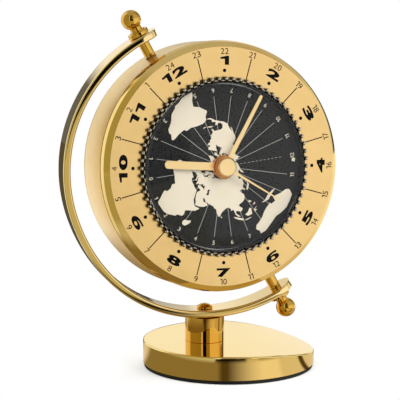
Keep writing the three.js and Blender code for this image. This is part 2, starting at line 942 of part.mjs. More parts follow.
function hand(name, angle, bladeGeometry, bossGeometry, bore) {
  const made = piece(name, face, cut(join(bladeGeometry, bossGeometry), bore), "dialBrass");
  made.rotation.z = -radians(angle);
}

hand(
  "hour_hand",
  hourAngle,
  blade(hourWidth, hourWidth, apertureRadius - hourTipGap, hourLevel, hourThickness),
  rod(hourBossRadius, hourBossBase, hourBossTop, mediumSteps),
  rod(hourPipeOuter + slipGap, hourBossBase - overrun, hourBossTop + overrun),
);
piece("hour_pipe", face, tube(hourPipeInner, hourPipeOuter, arborEnd, hourBossTop), "polishedBrass");

hand(
  "minute_hand",
  minuteAngle,
  blade(
    minuteRootWidth,
    minuteTipWidth,
    apertureRadius - minuteTipGap,
    (minuteBossBase + minuteBossTop - minuteThickness) / 2,
    minuteThickness,
  ),
  rod(minuteBossRadius, minuteBossBase, minuteBossTop, mediumSteps),
  rod(minutePipeOuter + slipGap, minuteBossBase - overrun, minuteBossTop + overrun),
);
piece(
  "minute_arbor",
  face,
  tube(minutePipeInner, minutePipeOuter, arborEnd, minuteBossTop),
  "polishedBrass",
);

const arborTip = capTop - capHeight / 2;
hand(
  "second_hand",
  secondAngle,
  blade(secondRootWidth, secondTipWidth, apertureRadius - secondTipGap, capBase, secondThickness),
  turned(
    [
      [0, capBase],
      [capRadius, capBase],
      [capRadius, capTop - capBevel],
      [capRadius - capBevel, capTop],
      [0, capTop],
    ],
    mediumSteps,
  ),
  rod(secondArborRadius + slipGap, capBase - overrun, arborTip + slipGap),
);
piece("second_arbor", face, rod(secondArborRadius, arborEnd, arborTip), "steel");

// ---- back cover with tray, door, battery, contacts and setting knob

const trayBox = box(
  trayLength + trayWall + trayWall,
  trayHeight + trayWall + trayWall,
  coverBack - trayFloor - coverThickness + trayWall,
  0,
  trayY,
  -(coverFront + trayFloor - trayWall) / 2,
);
const trayHollow = box(
  trayLength,
  trayHeight,
  coverBack - trayFloor + overrun,
  0,
  trayY,
  -(coverBack + trayFloor + overrun) / 2,
);
const coverDisc = turned(
  [
    [0, -coverBack],
    [coverRadius - coverEdgeBevel, -coverBack],
    [coverRadius, coverEdgeBevel - coverBack],
    [coverRadius, -coverFront],
    [coverSpigot, -coverFront],
    [coverSpigot, coverSpigotDepth - coverFront],
    [coverSpigot - coverSpigotWall, coverSpigotDepth - coverFront],
    [coverSpigot - coverSpigotWall, -coverFront],
    [0, -coverFront],
  ],
  mediumSteps,
);
const pinSpan = doorWidth + doorPinLength + doorPinLength;
const pinHole = rod(doorPinRadius + doorPinGap, -pinSpan / 2 - runGap, pinSpan / 2 + runGap, smallSteps / 2);
pinHole.rotateY(quarter).translate(0, doorAxisY, -doorAxisDepth);
piece(
  "back_cover",
  face,
  cut(
    join(coverDisc, trayBox),
    trayHollow,
    pinHole,
    rod(knobShaftRadius + runGap, -coverBack - overrun, overrun - coverFront).translate(0, knobY, 0),
    ...coverScrewHoles,
  ),
  "blackPlastic",
);

["cover_screw_top", "cover_screw_left", "cover_screw_right"].forEach((name, i) => {
  const screw = smallScrew(-coverBack - seatGap, coverScrewReach - coverFront);
  const made = piece(name, face, screw, "steel");
  made.position.set(...coverScrewPlaces[i], 0);
  made.rotation.z = coverScrewAngles[i];
});

// The door's lower edge is rounded about its hinge pins, with a finger notch near its top
function doorPlate() {
  const shape = new THREE.Shape();
  shape.moveTo(-doorEdge, doorTop - doorAxisY);
  shape.lineTo(-doorEdge, 0);
  shape.absarc(0, 0, doorEdge, Math.PI, Math.PI + Math.PI);
  shape.lineTo(doorEdge, doorTop - doorAxisY);
  const plate = raised(shape, -doorWidth / 2, doorWidth / 2);
  const pin = rod(doorPinRadius, -pinSpan / 2, pinSpan / 2, smallSteps / 2);
  return join(plate, pin).rotateY(quarter).translate(0, doorAxisY, -doorAxisDepth);
}
const notch = rod(doorNotchRadius, -overrun, doorNotchDepth);
notch.translate(0, doorTop - doorNotchRadius - doorEdge, -coverBack);
piece("battery_door", face, cut(doorPlate(), notch), "blackPlastic");

// The cell lies along X between a flat and a bowed contact
const batteryLeft = -(batteryLength + nubLength) / 2;
const cell = turned([
  [0, batteryLeft],
  [batteryRadius, batteryLeft],
  [batteryRadius, batteryLeft + batteryLength],
  [nubRadius, batteryLeft + batteryLength],
  [nubRadius, batteryLeft + batteryLength + nubLength],
  [0, batteryLeft + batteryLength + nubLength],
]);
cell.rotateY(quarter).translate(0, trayY, -batteryDepth);
piece("battery", face, cell, "cellSleeve");

// A strip bent from a flat back into a bow towards the cell
function contactStrip() {
  const half = batteryRadius - contactThickness;
  const flat = contactThickness + seatGap;
  const bow = flat + contactBow;
  const shape = new THREE.Shape();
  shape.moveTo(seatGap, -half);
  shape.lineTo(flat, -half);
  shape.lineTo(flat, -half / 2);
  shape.quadraticCurveTo(bow + contactBow, 0, flat, half / 2);
  shape.lineTo(flat, half);
  shape.lineTo(seatGap, half);
  return raised(shape, -contactWidth / 2, contactWidth / 2);
}
const contactX = trayLength / 2;
const leftContact = contactStrip().translate(-contactX, trayY, -batteryDepth);
const rightContact = contactStrip().rotateZ(Math.PI).translate(contactX, trayY, -batteryDepth);
piece("battery_contact_left", face, leftContact, "steel");
piece("battery_contact_right", face, rightContact, "steel");

// Knob with shallow flutes, on a shaft that reaches the movement
function knobOutline() {
  const shape = new THREE.Shape();
  for (let i = 0; i < fluteCount; i += 1) {
    const start = (i / fluteCount) * 2 * Math.PI;
    const step = Math.PI / fluteCount;
    const corners = [
      [knobRadius, start],
      [knobRadius, start + step],
      [knobRadius * fluteShare, start + step + step / 2],
    ];
    corners.forEach(([radius, angle]) => {
      const point = [radius * Math.cos(angle), radius * Math.sin(angle)];
      if (shape.curves.length === 0 && i === 0 && angle === 0) {
        shape.moveTo(...point);
      } else {
        shape.lineTo(...point);
      }
    });
  }
  return shape;
}
const knobFront = -coverBack - knobStand;
const knob = join(
  raised(knobOutline(), knobFront - knobHeight, knobFront),
  rod(knobShaftRadius, knobFront - knobHeight / 2, knobBite - movementBack),
);
piece("set_knob", face, knob, "blackPlastic").position.y = knobY;

export default root;
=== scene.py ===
import math
import bpy
from mathutils import Matrix, Vector


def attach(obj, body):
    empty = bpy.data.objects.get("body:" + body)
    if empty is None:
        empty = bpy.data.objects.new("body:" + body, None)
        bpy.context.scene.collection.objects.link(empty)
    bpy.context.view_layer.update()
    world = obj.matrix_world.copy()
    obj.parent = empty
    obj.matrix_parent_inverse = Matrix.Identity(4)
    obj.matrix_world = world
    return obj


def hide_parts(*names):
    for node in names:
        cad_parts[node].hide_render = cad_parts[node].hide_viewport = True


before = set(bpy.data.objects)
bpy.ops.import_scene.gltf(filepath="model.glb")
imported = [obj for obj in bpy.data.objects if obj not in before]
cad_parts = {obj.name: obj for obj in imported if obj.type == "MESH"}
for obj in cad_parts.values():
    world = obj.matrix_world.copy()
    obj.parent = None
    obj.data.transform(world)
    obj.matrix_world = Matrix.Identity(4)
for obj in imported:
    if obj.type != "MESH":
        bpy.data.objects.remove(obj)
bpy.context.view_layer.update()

mm = 0.001

# the clock's own frames; the sizes of all pieces are in millimetres and degrees
clock = {
    "armCentre": (-11.5, 0, 115.6),
    "tilt": 28.55,  # lean of the swivel axis to the left
    "shift": 0.6,  # the axis passes this far beside the arm's middle
    "lift": 1.3,  # the case's middle above the arm's, along the axis
    "turn": 7.96,  # the case about the axis at rest, its face to the right
    "faceOffset": 23.0,  # the dial's front before the axis
}

standFrame = Matrix.Identity(4)
leanFrame = (Matrix.Translation(Vector(clock["armCentre"]) * mm)
             @ Matrix.Rotation(-math.radians(clock["tilt"]), 4, "Y"))
swivelFrame = leanFrame @ Matrix.Translation((clock["shift"] * mm, 0, 0))
caseFrame = (swivelFrame @ Matrix.Translation((0, 0, clock["lift"] * mm))
             @ Matrix.Rotation(math.radians(clock["turn"]), 4, "Z"))
faceFrame = (caseFrame @ Matrix.Translation((0, -clock["faceOffset"] * mm, 0))
             @ Matrix.Rotation(math.radians(90), 4, "X"))


def linear(hexColour):
    parts = [int(hexColour[i:i + 2], 16) / 255 for i in (1, 3, 5)]
    return [c / 12.92 if c <= 0.04045 else ((c + 0.055) / 1.055) ** 2.4 for c in parts] + [1]


def addNode(tree, kind, inputs=None, **settings):
    node = tree.nodes.new(kind)
    for key, value in settings.items():
        setattr(node, key, value)
    for key, value in (inputs or {}).items():
        if isinstance(value, bpy.types.NodeSocket):
            tree.links.new(value, node.inputs[key])
        else:
            node.inputs[key].default_value = value
    return node


def newMaterial(name):
    material = bpy.data.materials.new(name)
    material.use_nodes = True
    material.node_tree.nodes.clear()
    return material, material.node_tree


def placeCoordinates(tree, matrix):
    # a Mapping node of type TEXTURE turns the row frame into the piece's own frame
    spot = addNode(tree, "ShaderNodeTexCoord").outputs["Object"]
    turned = addNode(tree, "ShaderNodeMapping", {"Vector": spot}, vector_type="TEXTURE")
    turned.inputs["Location"].default_value = matrix.to_translation()
    turned.inputs["Rotation"].default_value = matrix.to_euler("XYZ")
    return turned.outputs["Vector"]


def brushedVector(tree, matrix):
    # radius, depth and a little of the angle: noise read here runs in rings round the dial's axis
    x, y, z = addNode(tree, "ShaderNodeSeparateXYZ", {"Vector": placeCoordinates(tree, matrix)}).outputs
    square = addNode(tree, "ShaderNodeMath", {0: x, 1: x}, operation="MULTIPLY")
    other = addNode(tree, "ShaderNodeMath", {0: y, 1: y}, operation="MULTIPLY")
    total = addNode(tree, "ShaderNodeMath", {0: square.outputs[0], 1: other.outputs[0]}, operation="ADD")
    radius = addNode(tree, "ShaderNodeMath", {0: total.outputs[0], 1: 0.5}, operation="POWER")
    angle = addNode(tree, "ShaderNodeMath", {0: y, 1: x}, operation="ARCTAN2")
    slow = addNode(tree, "ShaderNodeMath", {0: angle.outputs[0], 1: 0.0006}, operation="MULTIPLY")
    joined = addNode(tree, "ShaderNodeCombineXYZ", {"X": radius.outputs[0], "Y": slow.outputs[0], "Z": z})
    return joined.outputs[0]


wear = {
    # noise scales of what varies over a skin: tone of lacquer, wipe marks in it, tone of plain matter, dust
    "lacquer": 45.0, "wipe": 160.0, "tone": 70.0, "dust": 220.0,
    # shares of the roughness at the smoothest place, at a wiped one and at a grainy one
    "smooth": 0.85, "wiped": 1.2, "grainy": 1.15,
}
acrylic = {"tint": "#ffffff", "index": 1.27, "haze": 0.03}
knurling = {
    # the cut colour is painted shade, near black in the grooves and low down; the land colour is the chrome
    # itself
    "count": 72, "cut": "#1d1a16", "land": "#c6bfb2", "rough": 0.1, "landStarts": (-0.1, 0.4),
    # the two rows meet at this radius, and below this height the whole ring is painted in the dark cut colour
    # as shade, each with a soft edge
    "border": 48.5, "borderSoft": 0.1, "depth": 2.5, "depthSoft": 0.2,
}


# Lacquered brass, cut by the wheel or brushed. Its colour varies a little where the lacquer is thicker,
# and its roughness carries faint wipe marks, so long reflections are not perfectly even.
def brass(name, colour, deeper, rough, grain, grainDepth, brushFrame=None):
    material, tree = newMaterial(name)
    where = addNode(tree, "ShaderNodeTexCoord").outputs["Object"]
    cloud = addNode(tree, "ShaderNodeTexNoise", {"Vector": where, "Scale": wear["lacquer"], "Detail": 3.0})
    tint = addNode(tree, "ShaderNodeMix", {
        "Factor": cloud.outputs["Fac"], 6: linear(colour), 7: linear(deeper)}, data_type="RGBA").outputs[2]
    wipe = addNode(tree, "ShaderNodeTexNoise", {"Vector": where, "Scale": wear["wipe"], "Detail": 4.0})
    spread = addNode(tree, "ShaderNodeMapRange", {
        "Value": wipe.outputs["Fac"], 3: rough * wear["smooth"], 4: rough * wear["wiped"]})
    lines = brushedVector(tree, brushFrame) if brushFrame else where
    cut = addNode(tree, "ShaderNodeTexNoise", {"Vector": lines, "Scale": 1000 / grain, "Detail": 2.0})
    bump = addNode(tree, "ShaderNodeBump", {
        "Height": cut.outputs["Fac"], "Distance": grainDepth * mm, "Strength": 0.5})
    skin = addNode(tree, "ShaderNodeBsdfPrincipled", {
        "Base Color": tint, "Metallic": 1.0, "Roughness": spread.outputs[0], "Normal": bump.outputs[0]})
    addNode(tree, "ShaderNodeOutputMaterial", {"Surface": skin.outputs[0]})
    return material


# Moulded, cast or printed plain surfaces: fine spark or paint grain, with a slight change of tone
def matter(name, colour, deeper, rough, grain, grainDepth, metallic=0.0, ior=1.46):
    material, tree = newMaterial(name)
    where = addNode(tree, "ShaderNodeTexCoord").outputs["Object"]
    cloud = addNode(tree, "ShaderNodeTexNoise", {"Vector": where, "Scale": wear["tone"], "Detail": 4.0})
    tint = addNode(tree, "ShaderNodeMix", {
        "Factor": cloud.outputs["Fac"], 6: linear(colour), 7: linear(deeper)}, data_type="RGBA").outputs[2]
    spots = addNode(tree, "ShaderNodeTexNoise", {"Vector": where, "Scale": 1000 / grain, "Detail": 2.0})
    spread = addNode(tree, "ShaderNodeMapRange", {
        "Value": spots.outputs["Fac"], 3: rough * wear["smooth"], 4: rough * wear["grainy"]})
    bump = addNode(tree, "ShaderNodeBump", {
        "Height": spots.outputs["Fac"], "Distance": grainDepth * mm, "Strength": 0.6})
    skin = addNode(tree, "ShaderNodeBsdfPrincipled", {
        "Base Color": tint, "Metallic": metallic, "Roughness": spread.outputs[0], "Normal": bump.outputs[0]})
    if metallic == 0:
        skin.inputs["IOR"].default_value = ior
    addNode(tree, "ShaderNodeOutputMaterial", {"Surface": skin.outputs[0]})
    return material


# Clear cast acrylic with an anti-glare dip, which brings its index down at the skin: it shows by its edge
# and a faint sheen only, and lets the lamps' light through
def clearAcrylic():
    material, tree = newMaterial("clearCastAcrylic")
    path = addNode(tree, "ShaderNodeLightPath")
    where = addNode(tree, "ShaderNodeTexCoord").outputs["Object"]
    dust = addNode(tree, "ShaderNodeTexNoise", {"Vector": where, "Scale": wear["dust"], "Detail": 5.0})
    haze = addNode(tree, "ShaderNodeMapRange", {"Value": dust.outputs["Fac"], 3: 0.0, 4: acrylic["haze"]})
    body = addNode(tree, "ShaderNodeBsdfPrincipled", {
        "Base Color": linear(acrylic["tint"]), "Roughness": haze.outputs[0], "IOR": acrylic["index"],
        "Transmission Weight": 1.0})
    clear = addNode(tree, "ShaderNodeBsdfTransparent")
    both = addNode(tree, "ShaderNodeMixShader", {
        0: path.outputs["Is Shadow Ray"], 1: body.outputs[0], 2: clear.outputs[0]})
    addNode(tree, "ShaderNodeOutputMaterial", {"Surface": both.outputs[0]})
    return material


# Knurled chrome with painted shade: the cuts between the beads are painted near black, so bright lands
# and dark grooves take turns round the ring, and a second row on the inner slope stands between them,
# which paints the edge its rope-like sparkle
def knurledChrome(name, matrix):
    k = knurling
    border, depth = k["border"], k["depth"]
    material, tree = newMaterial(name)
    x, y, z = addNode(tree, "ShaderNodeSeparateXYZ", {0: placeCoordinates(tree, matrix)}).outputs
    turn = addNode(tree, "ShaderNodeMath", {0: y, 1: x}, operation="ARCTAN2")
    many = addNode(tree, "ShaderNodeMath", {0: turn.outputs[0], 1: float(k["count"])}, operation="MULTIPLY")
    wave = addNode(tree, "ShaderNodeMath", {0: many.outputs[0]}, operation="COSINE")
    flat = addNode(tree, "ShaderNodeCombineXYZ", {0: x, 1: y})
    reach = addNode(tree, "ShaderNodeVectorMath", {0: flat.outputs[0]}, operation="LENGTH").outputs["Value"]
    side = addNode(tree, "ShaderNodeMapRange", {
        "Value": reach, 1: (border - k["borderSoft"]) * mm, 2: (border + k["borderSoft"]) * mm,
        3: -1.0, 4: 1.0})
    rows = addNode(tree, "ShaderNodeMath", {0: wave.outputs[0], 1: side.outputs[0]}, operation="MULTIPLY")
    land = addNode(tree, "ShaderNodeMapRange", {
        "Value": rows.outputs[0], 1: k["landStarts"][0], 2: k["landStarts"][1], 3: 0.0, 4: 1.0})
    high = addNode(tree, "ShaderNodeMapRange", {
        "Value": z, 1: (depth - k["depthSoft"]) * mm, 2: (depth + k["depthSoft"]) * mm, 3: 0.0, 4: 1.0})
    # dark in the cuts and everywhere low down, chrome on the lands up high: painted shade and painted sparkle
    paintedLightShare = addNode(tree, "ShaderNodeMath", {0: land.outputs[0], 1: high.outputs[0]}, operation="MULTIPLY")
    tint = addNode(tree, "ShaderNodeMix", {
        "Factor": paintedLightShare.outputs[0], 6: linear(k["cut"]), 7: linear(k["land"])}, data_type="RGBA").outputs[2]
    skin = addNode(tree, "ShaderNodeBsdfPrincipled", {
        "Base Color": tint, "Metallic": 1.0, "Roughness": k["rough"]})
    addNode(tree, "ShaderNodeOutputMaterial", {"Surface": skin.outputs[0]})
    return material


# after the two tones come roughness, width and depth of the grain, and for a brass the frame it is brushed
# in, or for plain matter metallic and index
finishes = {
    # mirror-cut brass under lacquer: sharp reflections, olive where the room is dim
    "polished": brass("polishedLacqueredBrass", "#dfb356", "#d9aa4a", 0.03, 9.0, 0.002),
    "base": brass("polishedBaseBrass", "#f9de94", "#f5d789", 0.025, 9.0, 0.002),
    "arm": brass("polishedArmBrass", "#f6dda2", "#f2d798", 0.04, 9.0, 0.002),
    "bezel": brass("polishedBezelBrass", "#f3d184", "#efcb7b", 0.07, 9.0, 0.002),
    # circular brushed skin of the drum: soft broad highlight, ring lines 0.4 mm apart, coarser than real
    "drum": brass("brushedDrumBrass", "#ffe4a8", "#fadc9c", 0.32, 0.4, 0.003, faceFrame),
    # fine satin dial: even glow with a breath of ring grain
    "dial": brass("satinDialBrass", "#f3cf8e", "#f0cb88", 0.3, 0.35, 0.002, faceFrame),
    "hand": brass("satinHandBrass", "#fddd9f", "#f8d694", 0.3, 0.5, 0.001),
    # brown-gold sides of the hand bosses and pipes
    "boss": brass("turnedBossBrass", "#c98c48", "#b57636", 0.09, 0.3, 0.002),
    "knurl": knurledChrome("knurledChromePaintedShade", faceFrame),
    "lens": clearAcrylic(),
    # flat black print that gives back next to nothing, and inks that stand out on it
    "disc": matter("mattBlackPrintedAluminium", "#161716", "#121312", 0.6, 0.25, 0.0002, 0.0, 1.15),
    "land": matter("creamScreenInk", "#e8ddc6", "#dfd4bb", 0.6, 0.3, 0.001),
    "greyLine": matter("greyScreenInk", "#b4b5ae", "#a6a7a0", 0.6, 0.3, 0.002),
    "ink": matter("blackScreenInk", "#060606", "#0a0a09", 0.6, 0.3, 0.002, 0.0, 1.2),
    # spark-textured plastic with a dull sheen, and turned nylon, amber from the oil in it
    "blackPlastic": matter("mouldedBlackAbs", "#1c1c1d", "#232324", 0.5, 0.35, 0.01, 0.0, 1.53),
    "nylon": matter("turnedOilFilledNylon", "#8a6230", "#7c5526", 0.45, 0.5, 0.004, 0.0, 1.53),
    # bright screws, a gritty casting, dull rubber and the shiny film on the cell
    "steel": matter("brightZincedSteel", "#c4c4c2", "#b6b6b4", 0.3, 0.4, 0.003, 1.0),
    "iron": matter("sandCastIron", "#4c4a47", "#3c3a38", 0.75, 0.8, 0.05, 1.0),
    "rubber": matter("mouldedBlackRubber", "#0d0d0d", "#151515", 0.8, 0.5, 0.01, 0.0, 1.52),
    "sleeve": matter("shrunkCellSleeve", "#3d4c5e", "#354354", 0.3, 0.8, 0.002, 0.0, 1.5),
}
print("materials done")


def deselectAll():
    if bpy.context.object and bpy.context.object.mode != "OBJECT":
        bpy.ops.object.mode_set(mode="OBJECT")
    bpy.ops.object.select_all(action="DESELECT")


def selectOnly(obj):
    deselectAll()
    obj.select_set(True)
    bpy.context.view_layer.objects.active = obj


def applyPlace():
    # the selected piece's place goes into its mesh
    bpy.ops.object.transform_apply(location=True, rotation=True, scale=True)


def applyModifier(obj, kind, **settings):
    selectOnly(obj)
    modifier = obj.modifiers.new(kind.title(), kind)
    for key, value in settings.items():
        setattr(modifier, key, value)
    bpy.ops.object.modifier_apply(modifier=modifier.name)


def dress(obj, name, material, body, nodes=(), matrix=standFrame, smooth=35):
    # puts a piece made in millimetres into the row frame, with its place in its mesh
    selectOnly(obj)
    obj.name = name
    obj.data.name = name
    obj.matrix_world = matrix @ Matrix.Scale(mm, 4) @ obj.matrix_world
    applyPlace()
    obj.data.materials.clear()
    obj.data.materials.append(finishes[material])
    if smooth:
        bpy.ops.object.shade_smooth_by_angle(angle=math.radians(smooth))
    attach(obj, body)
    if nodes:
        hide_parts(*nodes)
    return obj


def fixNormals(obj):
    selectOnly(obj)
    bpy.ops.object.mode_set(mode="EDIT")
    bpy.ops.mesh.select_all(action="SELECT")
    bpy.ops.mesh.remove_doubles(threshold=0.0001)
    bpy.ops.mesh.normals_make_consistent(inside=False)
    bpy.ops.object.mode_set(mode="OBJECT")


def turnPiece(profile, steps=192):
    # a ring pulled through the profile [radius, height]; it closes on the axis or on itself
    points = list(profile)
    onAxis = points[0][0] == 0
    if onAxis:
        points.pop(0)
    radius, height = points[0]
    deselectAll()
    bpy.ops.mesh.primitive_circle_add(vertices=steps, radius=radius, location=(0, 0, height),
                                      fill_type="TRIFAN" if onAxis else "NOTHING")
    obj = bpy.context.object
    applyPlace()
    bpy.ops.object.mode_set(mode="EDIT")
    bpy.ops.mesh.select_mode(type="VERT")
    bpy.ops.mesh.select_all(action="DESELECT" if onAxis else "SELECT")
    if onAxis:
        bpy.ops.mesh.select_non_manifold()
    for nextRadius, nextHeight in points[1:]:
        bpy.ops.mesh.extrude_edges_move(TRANSFORM_OT_translate={"value": (0, 0, nextHeight - height)})
        if nextRadius == 0:
            bpy.ops.mesh.merge(type="CENTER")
            break
        grow = nextRadius / radius
        if abs(grow - 1) > 1e-9:
            bpy.ops.transform.resize(value=(grow, grow, 1), center_override=(0, 0, nextHeight))
        radius, height = nextRadius, nextHeight
    if not onAxis:
        bpy.ops.mesh.select_all(action="DESELECT")
        bpy.ops.mesh.select_non_manifold()
        bpy.ops.mesh.bridge_edge_loops()
    bpy.ops.object.mode_set(mode="OBJECT")
    fixNormals(obj)
    return obj


def arcPoints(centre, radius, start, end, count):
    # points on an arc in the radius-height plane, angles in degrees from the radius axis
    angles = [math.radians(start + (end - start) * i / count) for i in range(count + 1)]
    return [(centre[0] + radius * math.cos(a), centre[1] + radius * math.sin(a)) for a in angles]


def bendPoints(first, control, last, count):
    # points on a bend that starts and ends along the lines to its control point
    shares = [i / count for i in range(count + 1)]
    return [tuple((1 - t) ** 2 * a + 2 * t * (1 - t) * b + t ** 2 * c
                  for a, b, c in zip(first, control, last)) for t in shares]


def joinPieces(objs):
    deselectAll()
    for obj in objs:
        obj.select_set(True)
    bpy.context.view_layer.objects.active = objs[0]
    bpy.ops.object.join()
    return bpy.context.object


def onDial(radius, angle):
    # clockwise degrees from 12 to a place on the face
    a = math.radians(angle)
    return Vector((radius * math.sin(a), radius * math.cos(a), 0))


base = {
    "radius": 49.49, "height": 15.4, "rimRound": 0.7, "steps": 192,
    "drop": 6.6,  # the top falls by this much from the post to the right edge
    "lip": 1.7, "edge": 0.2, "wallRing": 5.0,
    "topRings": (0.95, 0.9, 0.84, 0.77, 0.7, 0.62, 0.54, 0.46, 0.38, 0.3, 0.22, 0.14, 0.07),
    "pad": 2.2, "padInset": 0.6, "padRound": 0.5,
}
post = {"x": -14.2, "radius": 11.2, "edge": 0.25, "ring": 24.0, "top": 32.0, "gap": 0.1, "steps": 128}

# the band's own sizes; it runs a little outside its round near the foot
arm = {
    "inner": 81.45, "outer": 85.62, "width": 18.3, "steps": 120,
    "edge": 2.0, "squareness": 0.72, "edgeSteps": 10,
    "tip": 10.2, "tipSteps": 14, "lastShare": 0.93,  # round ends past the finials
    "swell": 1.4, "swellAngle": 121, "swellHalf": 42,
}


def armSwell(angle):
    away = min(1, abs(math.degrees(angle) - arm["swellAngle"]) / arm["swellHalf"])
    return arm["swell"] * math.cos(away * math.pi / 2) ** 2


def topDrop(x):
    # how far the base's top lies below its full height there
    start = post["x"] + post["radius"]
    run = max(0.0, x - start)
    full = base["radius"] - start
    bend = (full ** 2 + base["drop"] ** 2) / (2 * base["drop"])
    return bend - math.sqrt(bend ** 2 - run ** 2)


def makeBase():
    r, h, rim, pad, edge = base["radius"], base["height"], base["rimRound"], base["pad"], base["edge"]
    profile = [(r - base["lip"], pad), (r - edge, pad), (r, pad + edge), (r, base["wallRing"])]
    profile += arcPoints((r - rim, h - rim), rim, 0, 90, 6)
    profile += [(r * share, h) for share in base["topRings"]] + [(0, h)]
    obj = turnPiece(profile, base["steps"])
    for v in obj.data.vertices:
        if v.co.z > 2 * base["wallRing"]:
            v.co.z -= topDrop(v.co.x)
    return dress(obj, "baseShell", "base", "stand", ["base_shell"])


def makePad():
    r, bend, high = base["radius"] - base["padInset"], base["padRound"], base["pad"]
    profile = [(0, 0), (r - bend, 0)] + arcPoints((r - bend, bend), bend, -90, 0, 4) + [(r, high), (0, high)]
    return dress(turnPiece(profile, base["steps"]), "basePad", "rubber", "stand", ["base_pad"])


def makePost():
    # its top is hollowed to the round of the arm
    r, low, edge, top = post["radius"], base["height"], post["edge"], post["top"]
    centre = clock["armCentre"]
    obj = turnPiece([(0, low), (r - edge, low), (r, low + edge), (r, post["ring"]), (r, top), (0, top)],
                    post["steps"])
    for v in obj.data.vertices:
        if v.co.z > top - 1:
            away = v.co.x + post["x"] - centre[0]
            angle = math.radians(180 - clock["tilt"]) + math.asin(away / arm["outer"])
            v.co.z = centre[2] - math.sqrt((arm["outer"] + armSwell(angle) + post["gap"]) ** 2 - away ** 2)
        v.co.x += post["x"]
    return dress(obj, "standPost", "polished", "stand", ["post"])


makeBase()
makePad()
makePost()
print("base done")


def makeArm():
    # one section pulled round half a turn, narrowed to a round end past each finial
    inner, outer, half = arm["inner"], arm["outer"], arm["width"] / 2
    tips = [math.radians(90) * arm["lastShare"] * (i + 1) / arm["tipSteps"] for i in range(arm["tipSteps"])]
    stops = [(-arm["tip"] * math.sin(t) / outer, half * math.cos(t)) for t in reversed(tips)]
    stops += [(math.pi * i / arm["steps"], half) for i in range(arm["steps"] + 1)]
    stops += [(math.pi + arm["tip"] * math.sin(t) / outer, half * math.cos(t)) for t in tips]
    deselectAll()
    bpy.ops.mesh.primitive_plane_add(size=1)
    obj = bpy.context.object
    angle, width = stops[0]
    section = [(inner, -half), (outer, -half), (inner, half), (outer, half)]
    for v, (radius, y) in zip(obj.data.vertices, section):
        v.co = (-radius * math.sin(angle), y, radius * math.cos(angle))
    bpy.ops.object.mode_set(mode="EDIT")
    bpy.ops.mesh.select_all(action="SELECT")
    bpy.ops.mesh.bevel(offset=arm["edge"], segments=arm["edgeSteps"], profile=arm["squareness"],
                       affect="VERTICES")
    bpy.ops.mesh.select_all(action="SELECT")
    bpy.ops.transform.resize(value=(1, width / half, 1), center_override=(0, 0, 0))
    for nextAngle, nextWidth in stops[1:]:
        bpy.ops.mesh.extrude_region_move()
        # with no window the operator turns the other way
        bpy.ops.transform.rotate(value=nextAngle - angle, orient_axis="Y", center_override=(0, 0, 0))
        bpy.ops.transform.resize(value=(1, nextWidth / width, 1), center_override=(0, 0, 0))
        angle, width = nextAngle, nextWidth
    bpy.ops.object.mode_set(mode="OBJECT")
    for v in obj.data.vertices:
        reach = math.hypot(v.co.x, v.co.z)
        angle = math.atan2(-v.co.x, v.co.z)
        grow = 1 + armSwell(angle if angle > -1 else angle + 2 * math.pi) / reach
        v.co.x *= grow
        v.co.z *= grow
    fixNormals(obj)
    return dress(obj, "cArm", "arm", "stand", ["arm"], leanFrame, 30)


armScrew = {
    "head": 4.6, "rim": 0.7, "dome": 1.9, "edge": 0.15, "gap": 0.1, "shank": 2.0, "shankEnd": 26.5,
    "steps": 96,
}


def makeArmScrew():
    head, dome, shank, edge = armScrew["head"], armScrew["dome"], armScrew["shank"], armScrew["edge"]
    seat = clock["armCentre"][2] - arm["inner"] + armScrew["gap"]
    rim = seat + armScrew["rim"]
    ball = (head ** 2 + dome ** 2) / (2 * dome)
    half = math.asin(head / ball)
    profile = [(0, armScrew["shankEnd"]), (shank, armScrew["shankEnd"]), (shank, seat), (head - edge, seat),
               (head, seat + edge)]
    profile += arcPoints((0, rim - ball * math.cos(half)), ball, 90 - math.degrees(half), 88, 9)
    obj = turnPiece(profile + [(0, rim + dome)], armScrew["steps"])
    for v in obj.data.vertices:
        v.co.x += post["x"]
    return dress(obj, "armScrew", "polished", "stand", ["arm_screw"])


finial = {
    "stem": 1.6, "stemEnd": 77.2, "seat": 85.75,
    "collar": 6.0, "collarHeight": 2.4, "collarRound": 0.6, "edge": 0.2,
    "step": 4.5, "stepHeight": 0.3, "stepRound": 0.25,
    "neck": 3.3, "ball": 5.65, "ballCentre": 95.4, "steps": 96,
}


def makeFinial(name, node, flip):
    f = finial
    top = f["seat"] + f["collarHeight"]
    brow = top + f["stepHeight"]
    startAngle = -90 + math.degrees(math.asin(f["neck"] / f["ball"]))
    profile = [(0, f["stemEnd"]), (f["stem"], f["stemEnd"]), (f["stem"], f["seat"]),
               (f["collar"] - f["edge"], f["seat"]), (f["collar"], f["seat"] + f["edge"])]
    profile += arcPoints((f["collar"] - f["collarRound"], top - f["collarRound"]), f["collarRound"], 0, 90, 5)
    profile += [(f["step"], top), (f["step"], brow)]
    profile += arcPoints((f["step"] - f["stepRound"], brow), f["stepRound"], 0, 90, 3)
    profile += [(f["neck"] + 0.1, brow + f["stepRound"])]
    profile += arcPoints((0, f["ballCentre"]), f["ball"], startAngle, 88, 26)
    profile += [(0, f["ballCentre"] + f["ball"])]
    obj = turnPiece(profile, f["steps"])
    return dress(obj, name, "polished", "stand", [node], swivelFrame @ flip, 38)


# front and back are depths behind the dial; the pins' shoulders stand clear of its skin
drum = {
    "radius": 70.4, "wall": 1.2, "corner": 12, "front": -7.0, "back": -46.3, "opening": 50, "edge": 0.15,
    "steps": 224,
}
pin = {
    "journal": 1.75, "journalDepth": 3.2, "shoulderGap": 0.7, "radius": 3.15, "edge": 0.2, "end": 81.3,
    "steps": 96,
}


